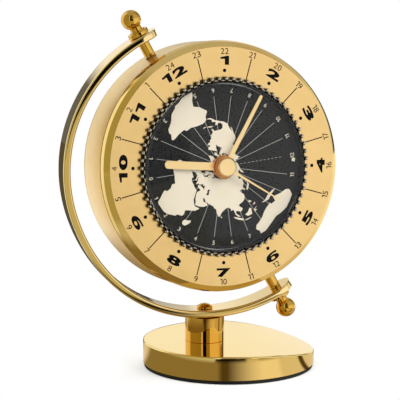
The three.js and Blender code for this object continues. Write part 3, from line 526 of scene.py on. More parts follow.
def makePin(name, node, lift, flip):
    shoulder = lift + drum["radius"] + pin["shoulderGap"]
    inside = lift + drum["radius"] - pin["journalDepth"]
    r, journal, edge = pin["radius"], pin["journal"], pin["edge"]
    profile = [(0, inside), (journal, inside), (journal, shoulder), (r - edge, shoulder),
               (r, shoulder + edge), (r, pin["end"]), (0, pin["end"])]
    obj = turnPiece(profile, pin["steps"])
    return dress(obj, name, "polished", "stand", [node], swivelFrame @ flip, 38)


upright, upsideDown = Matrix.Identity(4), Matrix.Rotation(math.radians(180), 4, "X")
makeArm()
makeArmScrew()
makeFinial("topFinial", "top_finial", upright)
makeFinial("bottomFinial", "bottom_finial", upsideDown)
makePin("topPivotPin", "top_pivot_pin", clock["lift"], upright)
makePin("bottomPivotPin", "bottom_pivot_pin", -clock["lift"], upsideDown)
print("arm done")


def makeDrum():
    r, w, c, front, back = drum["radius"], drum["wall"], drum["corner"], drum["front"], drum["back"]
    bend = (r - c, back + c)
    profile = [(r - w, front), (r - drum["edge"], front), (r, front - drum["edge"])]
    profile += arcPoints(bend, c, 0, -90, 18)
    profile += [(drum["opening"], back), (drum["opening"], back + w)]
    profile += arcPoints(bend, c - w, -90, 0, 12)
    obj = turnPiece(profile, drum["steps"])
    return dress(obj, "drumShell", "drum", "case", ["case_shell"], faceFrame)


bezel = {
    # the face falls from the dial to the brow, turns tightly there and ends in a steeper, brighter band
    "face": [(66.9, -0.02), (68.7, -1.43), (69.65, -2.33)],
    "turn": [(69.65, -2.33), (69.8, -2.47), (69.86, -2.75)],
    "outer": 70.57, "end": 5.4, "edge": 0.1, "step": 69.6, "stepDepth": 0.5,
    "skirt": [(68.9, -9.8), (67.5, -9.8)],  # slides into the drum
    "lip": [(67.5, -2.8), (63.5, -2.8), (63.5, -1.4), (66.9, -1.4)],  # holds the dial from behind
}
# a thin black ring that paints the shade in the seam between bezel and drum
seamShade = {"radius": 70.36, "gap": 0.03, "clearance": 0.04}


def makeBezel():
    outer, end, edge, step = bezel["outer"], -bezel["end"], bezel["edge"], bezel["step"]
    floor = end - edge - bezel["stepDepth"]
    profile = bendPoints(*bezel["face"], 14) + bendPoints(*bezel["turn"], 6)[1:]
    profile += [(outer, end), (outer - edge, end - edge), (step, end - edge), (step, floor),
                (bezel["skirt"][0][0], floor)] + bezel["skirt"] + bezel["lip"]
    obj = turnPiece(profile, drum["steps"])
    return dress(obj, "bezelRing", "bezel", "case", ["bezel"], faceFrame, 30)


def makeGasket():
    # a black ring closes the seam between bezel and drum: a dark piece put there as painted shade in the seam
    low, high = drum["front"] + seamShade["gap"], -bezel["end"] - bezel["edge"] - seamShade["gap"]
    inner, outer = bezel["step"] + seamShade["clearance"], seamShade["radius"]
    obj = turnPiece([(inner, low), (outer, low), (outer, high), (inner, high)], drum["steps"])
    return dress(obj, "paintedSeamShade", "rubber", "case", (), faceFrame, 30)


dial = {"inner": 48.6, "outer": 66.88, "thickness": 1.2, "edge": 0.1}


def makeDialRing():
    inner, outer, edge, back = dial["inner"], dial["outer"], dial["edge"], -dial["thickness"]
    profile = [(inner, -edge), (inner + edge, 0), (outer, 0), (outer, back), (inner, back)]
    obj = turnPiece(profile, drum["steps"])
    return dress(obj, "dialRing", "dial", "case", ["dial_ring"], faceFrame, 20)


coin = {
    # section of the ring that carries the lens
    "section": [(46.6, -4.1), (48.3, -4.1), (48.3, 0.2), (49.25, 0.2), (49.25, 1.4), (48.55, 2.9),
                (48.3, 3.4), (48.05, 3.4), (47.8, 3.15), (47.8, 2.0), (46.7, 2.0), (46.6, 1.9)],
    # scallops round it: each a post with a crown that draws in, given as rise and share
    "count": knurling["count"], "place": 49.25, "radius": 1.2, "corners": 14, "low": 0.2, "height": 2.3,
    "crown": [(0.5, 0.75), (0.3, 0.35)], "steps": 216,
}


def makeCoinRing():
    core = turnPiece(coin["section"], coin["steps"])
    deselectAll()
    bpy.ops.mesh.primitive_cylinder_add(vertices=coin["corners"], radius=coin["radius"], depth=coin["height"],
                                        location=(coin["place"], 0, coin["low"] + coin["height"] / 2))
    bead = bpy.context.object
    applyPlace()
    bpy.ops.object.mode_set(mode="EDIT")
    bpy.ops.mesh.select_mode(type="FACE")
    bpy.ops.mesh.select_all(action="DESELECT")
    bpy.ops.object.mode_set(mode="OBJECT")
    for face in bead.data.polygons:
        face.select = face.normal.z > 0.9
    bpy.ops.object.mode_set(mode="EDIT")
    for rise, share in coin["crown"]:
        bpy.ops.mesh.extrude_region_move(TRANSFORM_OT_translate={"value": (0, 0, rise)})
        bpy.ops.transform.resize(value=(share, share, 1), center_override=(coin["place"], 0, 0))
    bpy.ops.object.mode_set(mode="OBJECT")
    beads = [bead]
    for i in range(1, coin["count"]):
        twin = bead.copy()
        twin.data = bead.data.copy()
        bpy.context.collection.objects.link(twin)
        twin.matrix_world = Matrix.Rotation(2 * math.pi * i / coin["count"], 4, "Z")
        beads.append(twin)
    edge = joinPieces(beads)
    selectOnly(edge)
    applyPlace()
    dress(edge, "coinEdge", "knurl", "case", ["knurled_ring"], faceFrame, 20)
    return dress(core, "coinRing", "knurl", "case", ["knurled_ring"], faceFrame, 30)


lens = {
    "radius": 47.5, "low": 2.2, "thickness": 1.3, "rise": 4.8, "rim": 1.8, "edge": 0.2, "pole": 0.6,
    "rings": 20, "steps": 160,
}


def makeLens():
    # a shallow dome of even thickness with a flat rim
    r, low, edge = lens["radius"], lens["low"], lens["edge"]
    high = low + lens["thickness"]
    reach, rise = r - lens["rim"], lens["rise"]
    bend = (reach ** 2 + rise ** 2) / (2 * rise)
    spots = [reach * i / lens["rings"] for i in range(lens["rings"] + 1)]
    under, top = [[(x, level + rise - bend + math.sqrt(bend ** 2 - x ** 2)) for x in spots]
                  for level in (low, high)]
    profile = [(0, under[0][1]), (lens["pole"], under[0][1])] + under[1:]
    profile += [(r, low), (r, high - edge), (r - edge, high)] + top[:0:-1] + [(0, top[0][1])]
    obj = turnPiece(profile, lens["steps"])
    return dress(obj, "lensDome", "lens", "case", ["lens"], faceFrame, 40)


makeDrum()
makeBezel()
makeGasket()
makeDialRing()
makeCoinRing()
makeLens()
print("case done")


dialPrint = {
    "tickInner": 50.5, "tickOuter": 62.3, "tickWidth": 0.58, "dotRadius": 53.7, "dotSize": 1.0,
    "level": 0.01, "ink": 0.03,
    "turnOver": 91,  # numbers further than this from 12 stand with their tops inwards
    # extended heavy figures for the hours, light ones for the 24 hours
    "hours": {"radius": 59.3, "height": 5.0, "width": 8.4, "oneWidth": 5.2, "stem": 2.5, "flag": 0.66,
              "weight": 0.05, "gap": 1.6, "heavy": True},
    "day": {"radius": 64.4, "height": 3.3, "width": 2.15, "oneWidth": 1.25, "stem": 0.5, "flag": 0.8,
            "weight": 0.0, "gap": 0.45, "heavy": False},
}


def fillOutline(name, *loops):
    # flat closed curves filled in, then made a mesh; a second loop inside the first is a hole
    curve = bpy.data.curves.new(name, "CURVE")
    curve.dimensions = "2D"
    curve.fill_mode = "BOTH"
    for points in loops:
        spline = curve.splines.new("POLY")
        spline.points.add(len(points) - 1)
        for point, (x, y) in zip(spline.points, points):
            point.co = (x, y, 0, 1)
        spline.use_cyclic_u = True
    obj = bpy.data.objects.new(name, curve)
    bpy.context.collection.objects.link(obj)
    selectOnly(obj)
    bpy.ops.object.convert(target="MESH")
    return bpy.context.object


# the heavy 9, in shares of its box: outline with the tail at its foot, and the hole
nineOutline = [
    (0.05, 0.03), (0.28, 0.0), (0.55, 0.02), (0.77, 0.11), (0.92, 0.27), (1.0, 0.52), (0.98, 0.73),
    (0.88, 0.89), (0.70, 0.975), (0.48, 1.0), (0.26, 0.97), (0.09, 0.88), (0.0, 0.71), (0.02, 0.55),
    (0.11, 0.42), (0.27, 0.34), (0.45, 0.32), (0.62, 0.36), (0.55, 0.27), (0.42, 0.225), (0.25, 0.215),
    (0.07, 0.25)]
nineHole = {"middle": (0.49, 0.67), "size": (0.155, 0.15), "corners": 20}
# the 1: where its top starts, in shares of the stem, and the bend and depth of its flag, in shares of its box
oneShape = {"top": 0.35, "bend": (0.8, 0.93), "flagDepth": 0.19}


def drawNine():
    (x, y), (wide, high) = nineHole["middle"], nineHole["size"]
    turns = [2 * math.pi * i / nineHole["corners"] for i in range(nineHole["corners"])]
    hole = [(x + wide * math.cos(t), y + high * math.sin(t)) for t in turns]
    return fillOutline("figure", nineOutline, hole)


def drawOne(width, height, stem, flag):
    foot = width - stem
    bendX, bendY = oneShape["bend"]
    return fillOutline("figure", [
        (foot, 0), (width, 0), (width, height), (foot + oneShape["top"] * stem, height),
        (foot * bendX, height * bendY), (0, height * (flag + oneShape["flagDepth"])), (0, height * flag),
        (foot, height * flag)])


def makeFigure(figure, face, left):
    # one figure fitted to its box; the 1 has its own outline with a flag, and the 6 is a 9 turned over
    width = face["oneWidth"] if figure == "1" else face["width"]
    height = face["height"]
    if figure == "1":
        obj = drawOne(width, height, face["stem"], face["flag"])
    elif figure in "69" and face["heavy"]:
        obj = drawNine()
    else:
        deselectAll()
        bpy.ops.object.text_add()
        text = bpy.context.object.data
        text.body = figure
        text.offset = face["weight"]
        text.resolution_u = 6
        bpy.ops.object.convert(target="MESH")
        obj = bpy.context.object
    xs = [v.co.x for v in obj.data.vertices]
    ys = [v.co.y for v in obj.data.vertices]
    middle = Vector(((min(xs) + max(xs)) / 2, (min(ys) + max(ys)) / 2, 0))
    over = -1 if figure == "6" and face["heavy"] else 1
    fit = Matrix.Diagonal((over * width / (max(xs) - min(xs)), over * height / (max(ys) - min(ys)), 1, 1))
    obj.matrix_world = Matrix.Translation((left + width / 2, 0, 0)) @ fit @ Matrix.Translation(-middle)
    applyPlace()
    return obj, left + width + face["gap"]


def makeNumber(number, face, angle, level, outward=None):
    # its middle is on the radius; outward says whether its top points away from the dial's middle, and
    # where that isn't given, numbers near the dial's foot are turned round so that they stay upright
    left, figures = 0, []
    for figure in str(number):
        obj, left = makeFigure(figure, face, left)
        figures.append(obj)
    obj = joinPieces(figures)
    selectOnly(obj)
    if outward is None:
        outward = abs((angle + 180) % 360 - 180) <= dialPrint["turnOver"]
    turn = -angle if outward else 180 - angle
    place = Matrix.Translation(onDial(face["radius"], angle) + Vector((0, 0, level)))
    place = place @ Matrix.Rotation(math.radians(turn), 4, "Z")
    obj.matrix_world = place @ Matrix.Translation(((face["gap"] - left) / 2, 0, 0))
    applyPlace()
    return obj


def makeTick(inner, outer, width, angle, level):
    deselectAll()
    bpy.ops.mesh.primitive_plane_add(size=1, location=(0, (inner + outer) / 2, level))
    obj = bpy.context.object
    obj.scale = (width, outer - inner, 1)
    applyPlace()
    obj.matrix_world = Matrix.Rotation(-math.radians(angle), 4, "Z")
    applyPlace()
    return obj


def makeDot(radius, size, angle, level, corners=24):
    deselectAll()
    bpy.ops.mesh.primitive_circle_add(vertices=corners, radius=size, fill_type="NGON",
                                      location=onDial(radius, angle) + Vector((0, 0, level)))
    applyPlace()
    return bpy.context.object


def thicken(obj, depth):
    # printed ink gets a little body, so that it has no open back
    selectOnly(obj)
    bpy.ops.object.mode_set(mode="EDIT")
    bpy.ops.mesh.select_mode(type="FACE")
    bpy.ops.mesh.select_all(action="SELECT")
    bpy.ops.mesh.remove_doubles(threshold=0.001)
    bpy.ops.mesh.extrude_region_move(TRANSFORM_OT_translate={"value": (0, 0, depth)})
    bpy.ops.mesh.select_all(action="SELECT")
    bpy.ops.mesh.normals_make_consistent(inside=False)
    bpy.ops.object.mode_set(mode="OBJECT")
    return obj


def makeDialPrint():
    p, level, marks = dialPrint, dialPrint["level"], []
    for i in range(12):
        marks.append(makeTick(p["tickInner"], p["tickOuter"], p["tickWidth"], 15 + 30 * i, level))
        marks.append(makeDot(p["dotRadius"], p["dotSize"], 30 * i, level))
        marks.append(makeNumber(i or 12, p["hours"], 30 * i, level))
    for i in range(24):
        marks.append(makeNumber(24 - i, p["day"], 15 * i, level))
    obj = thicken(joinPieces(marks), p["ink"])
    return dress(obj, "dialPrint", "ink", "case", (), faceFrame, 0)


makeDialPrint()
print("dial print done")


world = {
    "radius": 46.2, "bore": 5.6, "front": -2.6, "thickness": 0.8, "bevel": 0.1, "steps": 192,
    # the map's size for each degree from the pole, its outer edge and the place of longitude 0 on the dial
    "perDegree": 0.344, "edge": 45.6, "zeroAngle": 292,
    "longestSide": 4,  # degrees, past which a side is divided to follow the round of the map
    # the inks lie this far above the disc and have these thicknesses
    "lift": 0.01, "landInk": 0.05, "seaInk": 0.01, "lineInk": 0.02, "markInk": 0.03,
    "lineInner": 8.2, "lineOuter": 39.5, "lineWidth": 0.24,
    "dashes": {"count": 12, "pitch": 2.4, "length": 1.3, "width": 0.2},
    "mark": {"radius": 43.3, "size": 1.4, "angle": 115.4},
    "numbers": {"radius": 42.8, "height": 2.3, "width": 1.5, "oneWidth": 0.9, "stem": 0.36, "flag": 0.76,
                "weight": 0.0, "gap": 0.35, "heavy": False},
}

# a plain polar map in simple outlines, longitude and latitude in degrees
landOutlines = {
    "africa": [(-6, 35.6), (3, 36.6), (10, 37), (10, 34), (15, 32), (20, 32.5), (25, 31.8), (32.5, 31),
        (32.5, 29.5), (35, 25), (37, 21), (38, 18), (40, 15.5), (43, 12), (45, 10.5), (51, 12), (50, 9),
        (48, 5), (44, 1), (41, -2), (39, -5), (40.5, -11), (40, -15), (36, -19), (35.5, -23), (33, -26),
        (31, -29.5), (27, -33.5), (20, -34.8), (18.3, -34), (17, -29.5), (14.5, -23), (12, -17),
        (13.5, -12), (12.5, -6), (9, -1), (9.5, 4), (5, 5), (1, 6), (-4, 5), (-8, 4.3), (-13, 8.5),
        (-16.5, 12), (-17.5, 15), (-16.5, 20), (-15, 24), (-13, 28), (-9.7, 31)],
    "madagascar": [(44, -17), (47, -15), (49.5, -12), (50, -16), (48.5, -21), (47, -25), (44.5, -25),
        (43.5, -21.5)],
    "eurasia": [(-5.5, 36), (-9, 37), (-9.3, 39), (-9, 43.3), (-2, 43.4), (-1.2, 46), (-4.5, 48.4),
        (-1.5, 49.7), (2, 51), (4.5, 52.5), (8, 54), (8.2, 57), (10.5, 57.5), (10, 55), (11, 54), (14, 54),
        (19, 54.5), (21, 57), (24, 59.2), (30, 60), (23, 60), (21.5, 61), (22, 63), (25, 65), (22, 65.8),
        (17, 61.5), (18.5, 60), (16.5, 57), (14.5, 55.5), (12.8, 55.6), (11, 59), (7.5, 58), (5.2, 60),
        (6, 62.5), (12, 66), (16, 68.8), (21, 70), (28, 71), (33, 69.5), (40, 67.5), (40, 66.3), (34, 66.6),
        (37, 64), (40, 65), (44, 66.5), (44, 68.5), (53, 68.5), (60, 69.5), (67, 69), (68, 73), (73, 71.5),
        (74, 68), (78, 72), (86, 74), (98, 76.5), (105, 77.5), (113, 74), (125, 73.5), (130, 71),
        (140, 72.5), (152, 71), (160, 69.5), (170, 70), (180, 69), (190, 66), (187, 64.5), (180, 62.5),
        (175, 62), (170, 60), (163, 58), (162, 56), (157, 51), (156, 56), (162, 61), (156, 61.5),
        (150, 59.5), (142, 59), (136, 55), (141, 53), (140, 48.5), (135, 43.5), (131, 42.7), (128, 40),
        (129.3, 36), (126.5, 34.5), (126.5, 37.5), (125, 39.7), (121.5, 39), (122, 40.5), (118, 39),
        (121, 37.3), (119.3, 35), (121.8, 31.5), (120, 27), (117, 23.5), (113, 22), (108.5, 21.6),
        (106, 19.5), (109, 14), (109, 11.5), (105, 8.7), (105, 10.5), (102, 12.5), (100.5, 13.5),
        (99.5, 9.5), (103.5, 2), (101, 3), (98.5, 8), (98, 13), (97, 17), (94, 16), (94, 19), (91, 22.5),
        (87, 21.5), (82, 16.5), (80, 13), (79.5, 10), (77.5, 8), (74.5, 14), (72.8, 20), (70, 21), (68, 24),
        (62, 25), (57.5, 26), (54, 26.7), (50.5, 30), (48, 30), (50, 26.5), (52, 24.5), (56, 26),
        (59.5, 22.5), (55, 17.5), (49, 14), (44, 12.7), (42.5, 16.5), (39, 21), (35, 28), (34.5, 31),
        (36, 35), (36, 36.7), (31, 36.5), (27.5, 37), (26.5, 39.5), (29, 41), (35, 42), (41.3, 41.3),
        (38, 44.5), (39, 47), (35.5, 45.5), (33, 44.5), (33, 46), (30.5, 46), (28.5, 43.5), (28, 41.5),
        (26, 40.8), (23.5, 40.3), (24, 38), (22.5, 36.5), (21, 38.5), (19.5, 41.5), (15, 44), (13.5, 45.5),
        (12.5, 44.2), (16, 41.5), (18, 40), (16.5, 38.5), (15.7, 38), (15.5, 40), (12, 42), (9, 44.3),
        (6, 43), (3.2, 43), (0, 39.5), (-2, 36.7)],
    "britain": [(-5, 50), (1, 51), (1.5, 52.8), (-1.5, 55), (-2, 57.5), (-5, 58.5), (-5, 55), (-3, 54),
        (-4.5, 52)],
    "ireland": [(-9.5, 52), (-6.3, 52.3), (-6, 54.5), (-8, 55), (-9.8, 54)],
    "iceland": [(-24, 65.5), (-22, 64), (-18, 63.5), (-14, 64.8), (-16, 66.3), (-21, 66)],
    "honshu": [(130, 33.5), (131, 31.2), (135.5, 33.5), (140, 35.2), (142, 39.5), (141, 41.2),
        (139.5, 38.5), (136.5, 37), (132.5, 35.4)],
    "hokkaido": [(140.5, 42), (145, 43.3), (142, 45.3)],
    "sakhalin": [(142, 46), (143.5, 49), (143, 54), (142, 50)],
    "lanka": [(80, 9.5), (81.8, 7.5), (80.3, 6)],
    "sumatra": [(95.5, 5.5), (98.5, 3.5), (103.5, -1), (106, -3.5), (104.5, -5.8), (100, -1.5), (97, 2)],
    "sundaSouth": [(105.5, -6.3), (111, -6.6), (114.4, -8.2), (108, -7.8)],
    "borneo": [(109, 1.5), (113, 3), (117, 7), (118.5, 4.5), (117, 0.5), (116, -4), (111, -3)],
    "sulawesi": [(119.5, -5.5), (120, 0), (125, 1.3), (121.5, -0.8), (123, -4.5), (121, -3)],
    "luzon": [(120.3, 16), (122, 18.4), (124, 13), (121, 14)],
    "mindanao": [(122, 7.2), (126.3, 9), (125.5, 6)],
    "newGuinea": [(131, -1), (135, -3.4), (141, -2.8), (147.5, -6), (150.5, -10.5), (144, -8), (138, -8.2),
        (133, -4)],
    "australia": [(114, -24), (117, -22.5), (122, -19.5), (126, -15.5), (130.5, -13.5), (136.5, -13.5),
        (136, -16.5), (140.5, -19.5), (142.3, -12.5), (145.5, -17), (149, -23), (153, -28.5), (154, -34.5),
        (151, -42), (146.5, -44), (141, -43.5), (138, -41), (135.5, -39.5), (131, -36), (124, -38),
        (118, -41), (113.5, -40), (114, -35.5), (112, -29.5)],
    "northAmerica": [(-166, 68), (-156.5, 71.3), (-141, 69.7), (-128, 70), (-115, 68.5), (-108, 68),
        (-96, 68), (-94, 72), (-86, 69.5), (-82, 68), (-87, 64.5), (-94, 61), (-94, 58.5), (-88, 56.8),
        (-82.5, 55), (-80, 51.5), (-79, 54.5), (-77, 57.5), (-78, 62.3), (-70, 61), (-65, 58.5),
        (-61, 55.5), (-56, 52.5), (-60, 50), (-66, 50), (-65, 48), (-61, 45.8), (-66, 43.7), (-67, 44.8),
        (-70.5, 43), (-70, 41.6), (-74, 40.5), (-76, 37), (-76, 35), (-81, 31.5), (-80, 26.5), (-81, 25.2),
        (-82.8, 28), (-84, 30), (-89.5, 30), (-94.5, 29.4), (-97.4, 27), (-97.6, 22), (-95, 18.5),
        (-91, 18.6), (-90.5, 21), (-87, 21.4), (-88.3, 16), (-83.5, 15), (-83.5, 11), (-80, 9),
        (-77.5, 8.3), (-80, 7.3), (-83, 8.3), (-87.5, 13), (-93, 15.5), (-99, 16.7), (-105.5, 20),
        (-106, 23), (-112.5, 29.5), (-114.7, 31.7), (-112, 27.5), (-109.7, 23), (-112.3, 25.5),
        (-115, 29.5), (-117.2, 32.5), (-120.6, 34.6), (-123.8, 39), (-124.3, 43), (-124, 47), (-123, 49),
        (-128, 51), (-131, 55), (-136, 58.5), (-145, 60.3), (-150, 60), (-154, 58.5), (-163, 55),
        (-158, 58.6), (-164, 60.5), (-161, 63.5), (-168, 65.5)],
    "arcticEast": [(-88, 73.5), (-76, 72.5), (-67, 69.5), (-62, 66.5), (-66, 62.5), (-73, 65), (-72, 68),
        (-82, 70)],
    "arcticWest": [(-117, 72.5), (-105, 72.8), (-102, 69.5), (-114, 69.3)],
    "greenland": [(-73, 78), (-58, 75.7), (-52, 70), (-53, 66), (-48, 61), (-43, 60), (-40, 64.5),
        (-25, 69), (-20, 74), (-18, 79), (-30, 82), (-50, 81)],
    "cuba": [(-84.5, 22), (-80, 23), (-74.5, 20.2), (-77.5, 20)],
    "hispaniola": [(-74, 19.8), (-69, 19.5), (-71.5, 17.8)],
    "southAmerica": [(-77.2, 8.2), (-75, 10.8), (-71.7, 12), (-70, 11.8), (-64, 10.5), (-61, 8.5), (-57, 6),
        (-51, 4.5), (-50, 0), (-44, -2.5), (-38, -4), (-35, -6), (-35, -9), (-38.5, -13), (-39, -18),
        (-41, -22), (-46, -24), (-48.6, -27), (-52, -33), (-57, -36), (-58, -38.5), (-62, -39), (-65, -42),
        (-69, -43), (-74, -42.5), (-73.5, -37), (-71.5, -30), (-70.3, -20), (-75, -15), (-79, -8),
        (-81, -5), (-80.5, -2.5), (-78.7, 1), (-77.5, 4)],
}
inlandSeas = {
    "caspian": [(49, 37.2), (53.5, 37), (53.5, 40), (52.5, 42), (51, 44.8), (53, 46.5), (49, 46.3),
        (47.5, 44), (48.5, 42), (49.8, 40.3)],
}


def onMap(longitude, latitude):
    radius = min((90 - latitude) * world["perDegree"], world["edge"])
    return onDial(radius, world["zeroAngle"] - longitude)


def makeOutline(name, shape, level):
    # long sides follow the round of the map
    dense = []
    for (a, b), (c, d) in zip(shape, shape[1:] + shape[:1]):
        count = max(1, int(max(abs(c - a), abs(d - b)) / world["longestSide"]))
        dense += [onMap(a + (c - a) * i / count, b + (d - b) * i / count).xy for i in range(count)]
    obj = fillOutline(name, dense)
    obj.matrix_world = Matrix.Translation((0, 0, level))
    applyPlace()
    return obj


def makeOutlines(outlines, level):
    return joinPieces([makeOutline(name, shape, level) for name, shape in outlines.items()])


def printOnDisc(obj, name, material, ink):
    return dress(thicken(obj, ink), name, material, "world_disc", (), faceFrame, 0)


def makeWorldDisc():
    w, dashes, mark = world, world["dashes"], world["mark"]
    bore, radius, front, bevel = w["bore"], w["radius"], w["front"], w["bevel"]
    low, level, zero = front - w["thickness"], front + w["lift"], w["zeroAngle"]
    profile = [(bore, low), (radius, low), (radius, front - bevel), (radius - bevel, front), (bore, front)]
    disc = turnPiece(profile, w["steps"])
    dress(disc, "worldDisc", "disc", "world_disc", ["world_disc"], faceFrame, 20)
    printOnDisc(makeOutlines(landOutlines, level), "landMap", "land", w["landInk"])
    seas = makeOutlines(inlandSeas, level + w["landInk"] + w["lift"])
    printOnDisc(seas, "inlandSea", "disc", w["seaInk"])
    lines = [makeTick(w["lineInner"], w["lineOuter"], w["lineWidth"], zero + 15 * i, level)
             for i in range(24) if i != 12]
    # the date line, opposite longitude 0, is drawn in short dashes
    for i in range(dashes["count"]):
        start = w["lineInner"] + dashes["pitch"] * i
        lines.append(makeTick(start, start + dashes["length"], dashes["width"], zero - 180, level))
    printOnDisc(joinPieces(lines), "meridianLines", "greyLine", w["lineInk"])
    # plain zone numbers stand round the edge and count up to 12 on both sides of longitude 0
    numbers = [makeNumber(min(i, 24 - i), w["numbers"], zero - 15 * i, level, outward=False)
               for i in range(24)]
    printOnDisc(joinPieces(numbers), "zoneNumbers", "land", w["lineInk"])
    diamond = makeDot(mark["radius"], mark["size"], mark["angle"], level, corners=4)
    printOnDisc(diamond, "diamondMark", "land", w["markInk"])


makeWorldDisc()
print("world disc done")


hands = {
    "hour": {"angle": 303.0, "tip": 35.4, "root": 4.4, "end": 4.4, "low": 0.0, "thickness": 0.5,
             "boss": [(2.6, -2.2), (6.6, -2.2), (6.7, -2.1), (6.7, 0.4), (6.5, 0.6), (2.6, 0.6)]},
    "minute": {"angle": 58.55, "tip": 45.3, "root": 2.7, "end": 2.0, "low": 1.25, "thickness": 0.5,
               "boss": [(1.6, 0.9), (5.9, 0.9), (6.0, 1.0), (6.0, 2.0), (5.9, 2.1), (1.6, 2.1)]},
    "second": {"angle": 150.1, "tip": 38.1, "root": 1.5, "end": 0.6, "low": 2.5, "thickness": 0.4,
               "boss": [(0, 2.4), (5.0, 2.4), (5.2, 2.6), (5.2, 5.1), (4.95, 5.5), (4.45, 5.85), (4.2, 5.9),
                        (0, 5.9)]},
    "tipRound": 0.98, "tipSteps": 12,  # the end's corners are rounded by this share of half its width
    "edge": 0.08, "edgeSteps": 2, "edgeAngle": 50, "bossSteps": 96,
}


def makeBlade(name, sizes, body):
    # each hand's body and its node have one name
    deselectAll()
    bpy.ops.mesh.primitive_plane_add(size=1)
    obj = bpy.context.object
    root, end, tip = sizes["root"] / 2, sizes["end"] / 2, sizes["tip"]
    corners = {(-0.5, -0.5): (-root, 0), (0.5, -0.5): (root, 0),
               (-0.5, 0.5): (-end, tip), (0.5, 0.5): (end, tip)}
    for v in obj.data.vertices:
        x, y = corners[(round(v.co.x, 1), round(v.co.y, 1))]
        v.co = (x, y, sizes["low"])
    bpy.ops.object.mode_set(mode="EDIT")
    bpy.ops.mesh.select_mode(type="FACE")
    bpy.ops.mesh.select_all(action="SELECT")
    bpy.ops.mesh.extrude_region_move(TRANSFORM_OT_translate={"value": (0, 0, sizes["thickness"])})
    bpy.ops.mesh.select_mode(type="EDGE")
    bpy.ops.mesh.select_all(action="DESELECT")
    bpy.ops.object.mode_set(mode="OBJECT")
    # the two upright edges at the end become round corners
    for edge in obj.data.edges:
        a, b = [obj.data.vertices[i].co for i in edge.vertices]
        edge.select = abs(a.y - tip) < 1e-4 and abs(b.y - tip) < 1e-4 and abs(a.x - b.x) < 1e-4
    bpy.ops.object.mode_set(mode="EDIT")
    bpy.ops.mesh.bevel(offset=end * hands["tipRound"], segments=hands["tipSteps"], affect="EDGES")
    bpy.ops.object.mode_set(mode="OBJECT")
    fixNormals(obj)
    applyModifier(obj, "BEVEL", width=hands["edge"], segments=hands["edgeSteps"], limit_method="ANGLE",
                  angle_limit=math.radians(hands["edgeAngle"]), harden_normals=False)
    turn = faceFrame @ Matrix.Rotation(-math.radians(sizes["angle"]), 4, "Z")
    return dress(obj, name, "hand", body, [body], turn, 30)


def makeBoss(name, sizes, material, body):
    obj = turnPiece(sizes["boss"], hands["bossSteps"])
    return dress(obj, name, material, body, [body], faceFrame, 30)


makeBlade("hourBlade", hands["hour"], "hour_hand")
makeBoss("hourBoss", hands["hour"], "boss", "hour_hand")
makeBlade("minuteBlade", hands["minute"], "minute_hand")
makeBoss("minuteBoss", hands["minute"], "boss", "minute_hand")
makeBlade("secondBlade", hands["second"], "second_hand")
makeBoss("secondCap", hands["second"], "hand", "second_hand")
print("hands done")


# these solids of the CAD stay as they are and get their finish
keptNodes = {
    "base_weight": "iron", "base_screw": "steel", "dial_plate": "steel", "top_bush": "nylon",
    "bottom_bush": "nylon", "movement_case": "blackPlastic", "movement_screw_left": "steel",
    "movement_screw_right": "steel", "center_bush": "boss", "back_cover": "blackPlastic",
    "cover_screw_top": "steel", "cover_screw_left": "steel", "cover_screw_right": "steel",
    "battery": "sleeve", "battery_contact_left": "steel", "battery_contact_right": "steel",
    "battery_door": "blackPlastic", "second_arbor": "steel", "minute_arbor": "boss", "hour_pipe": "boss",
    "day_pipe": "boss", "set_knob": "blackPlastic",
}
for nodeName, finish in keptNodes.items():
    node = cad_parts[nodeName]
    node.data.materials.clear()
    node.data.materials.append(finishes[finish])
print("kept nodes done")


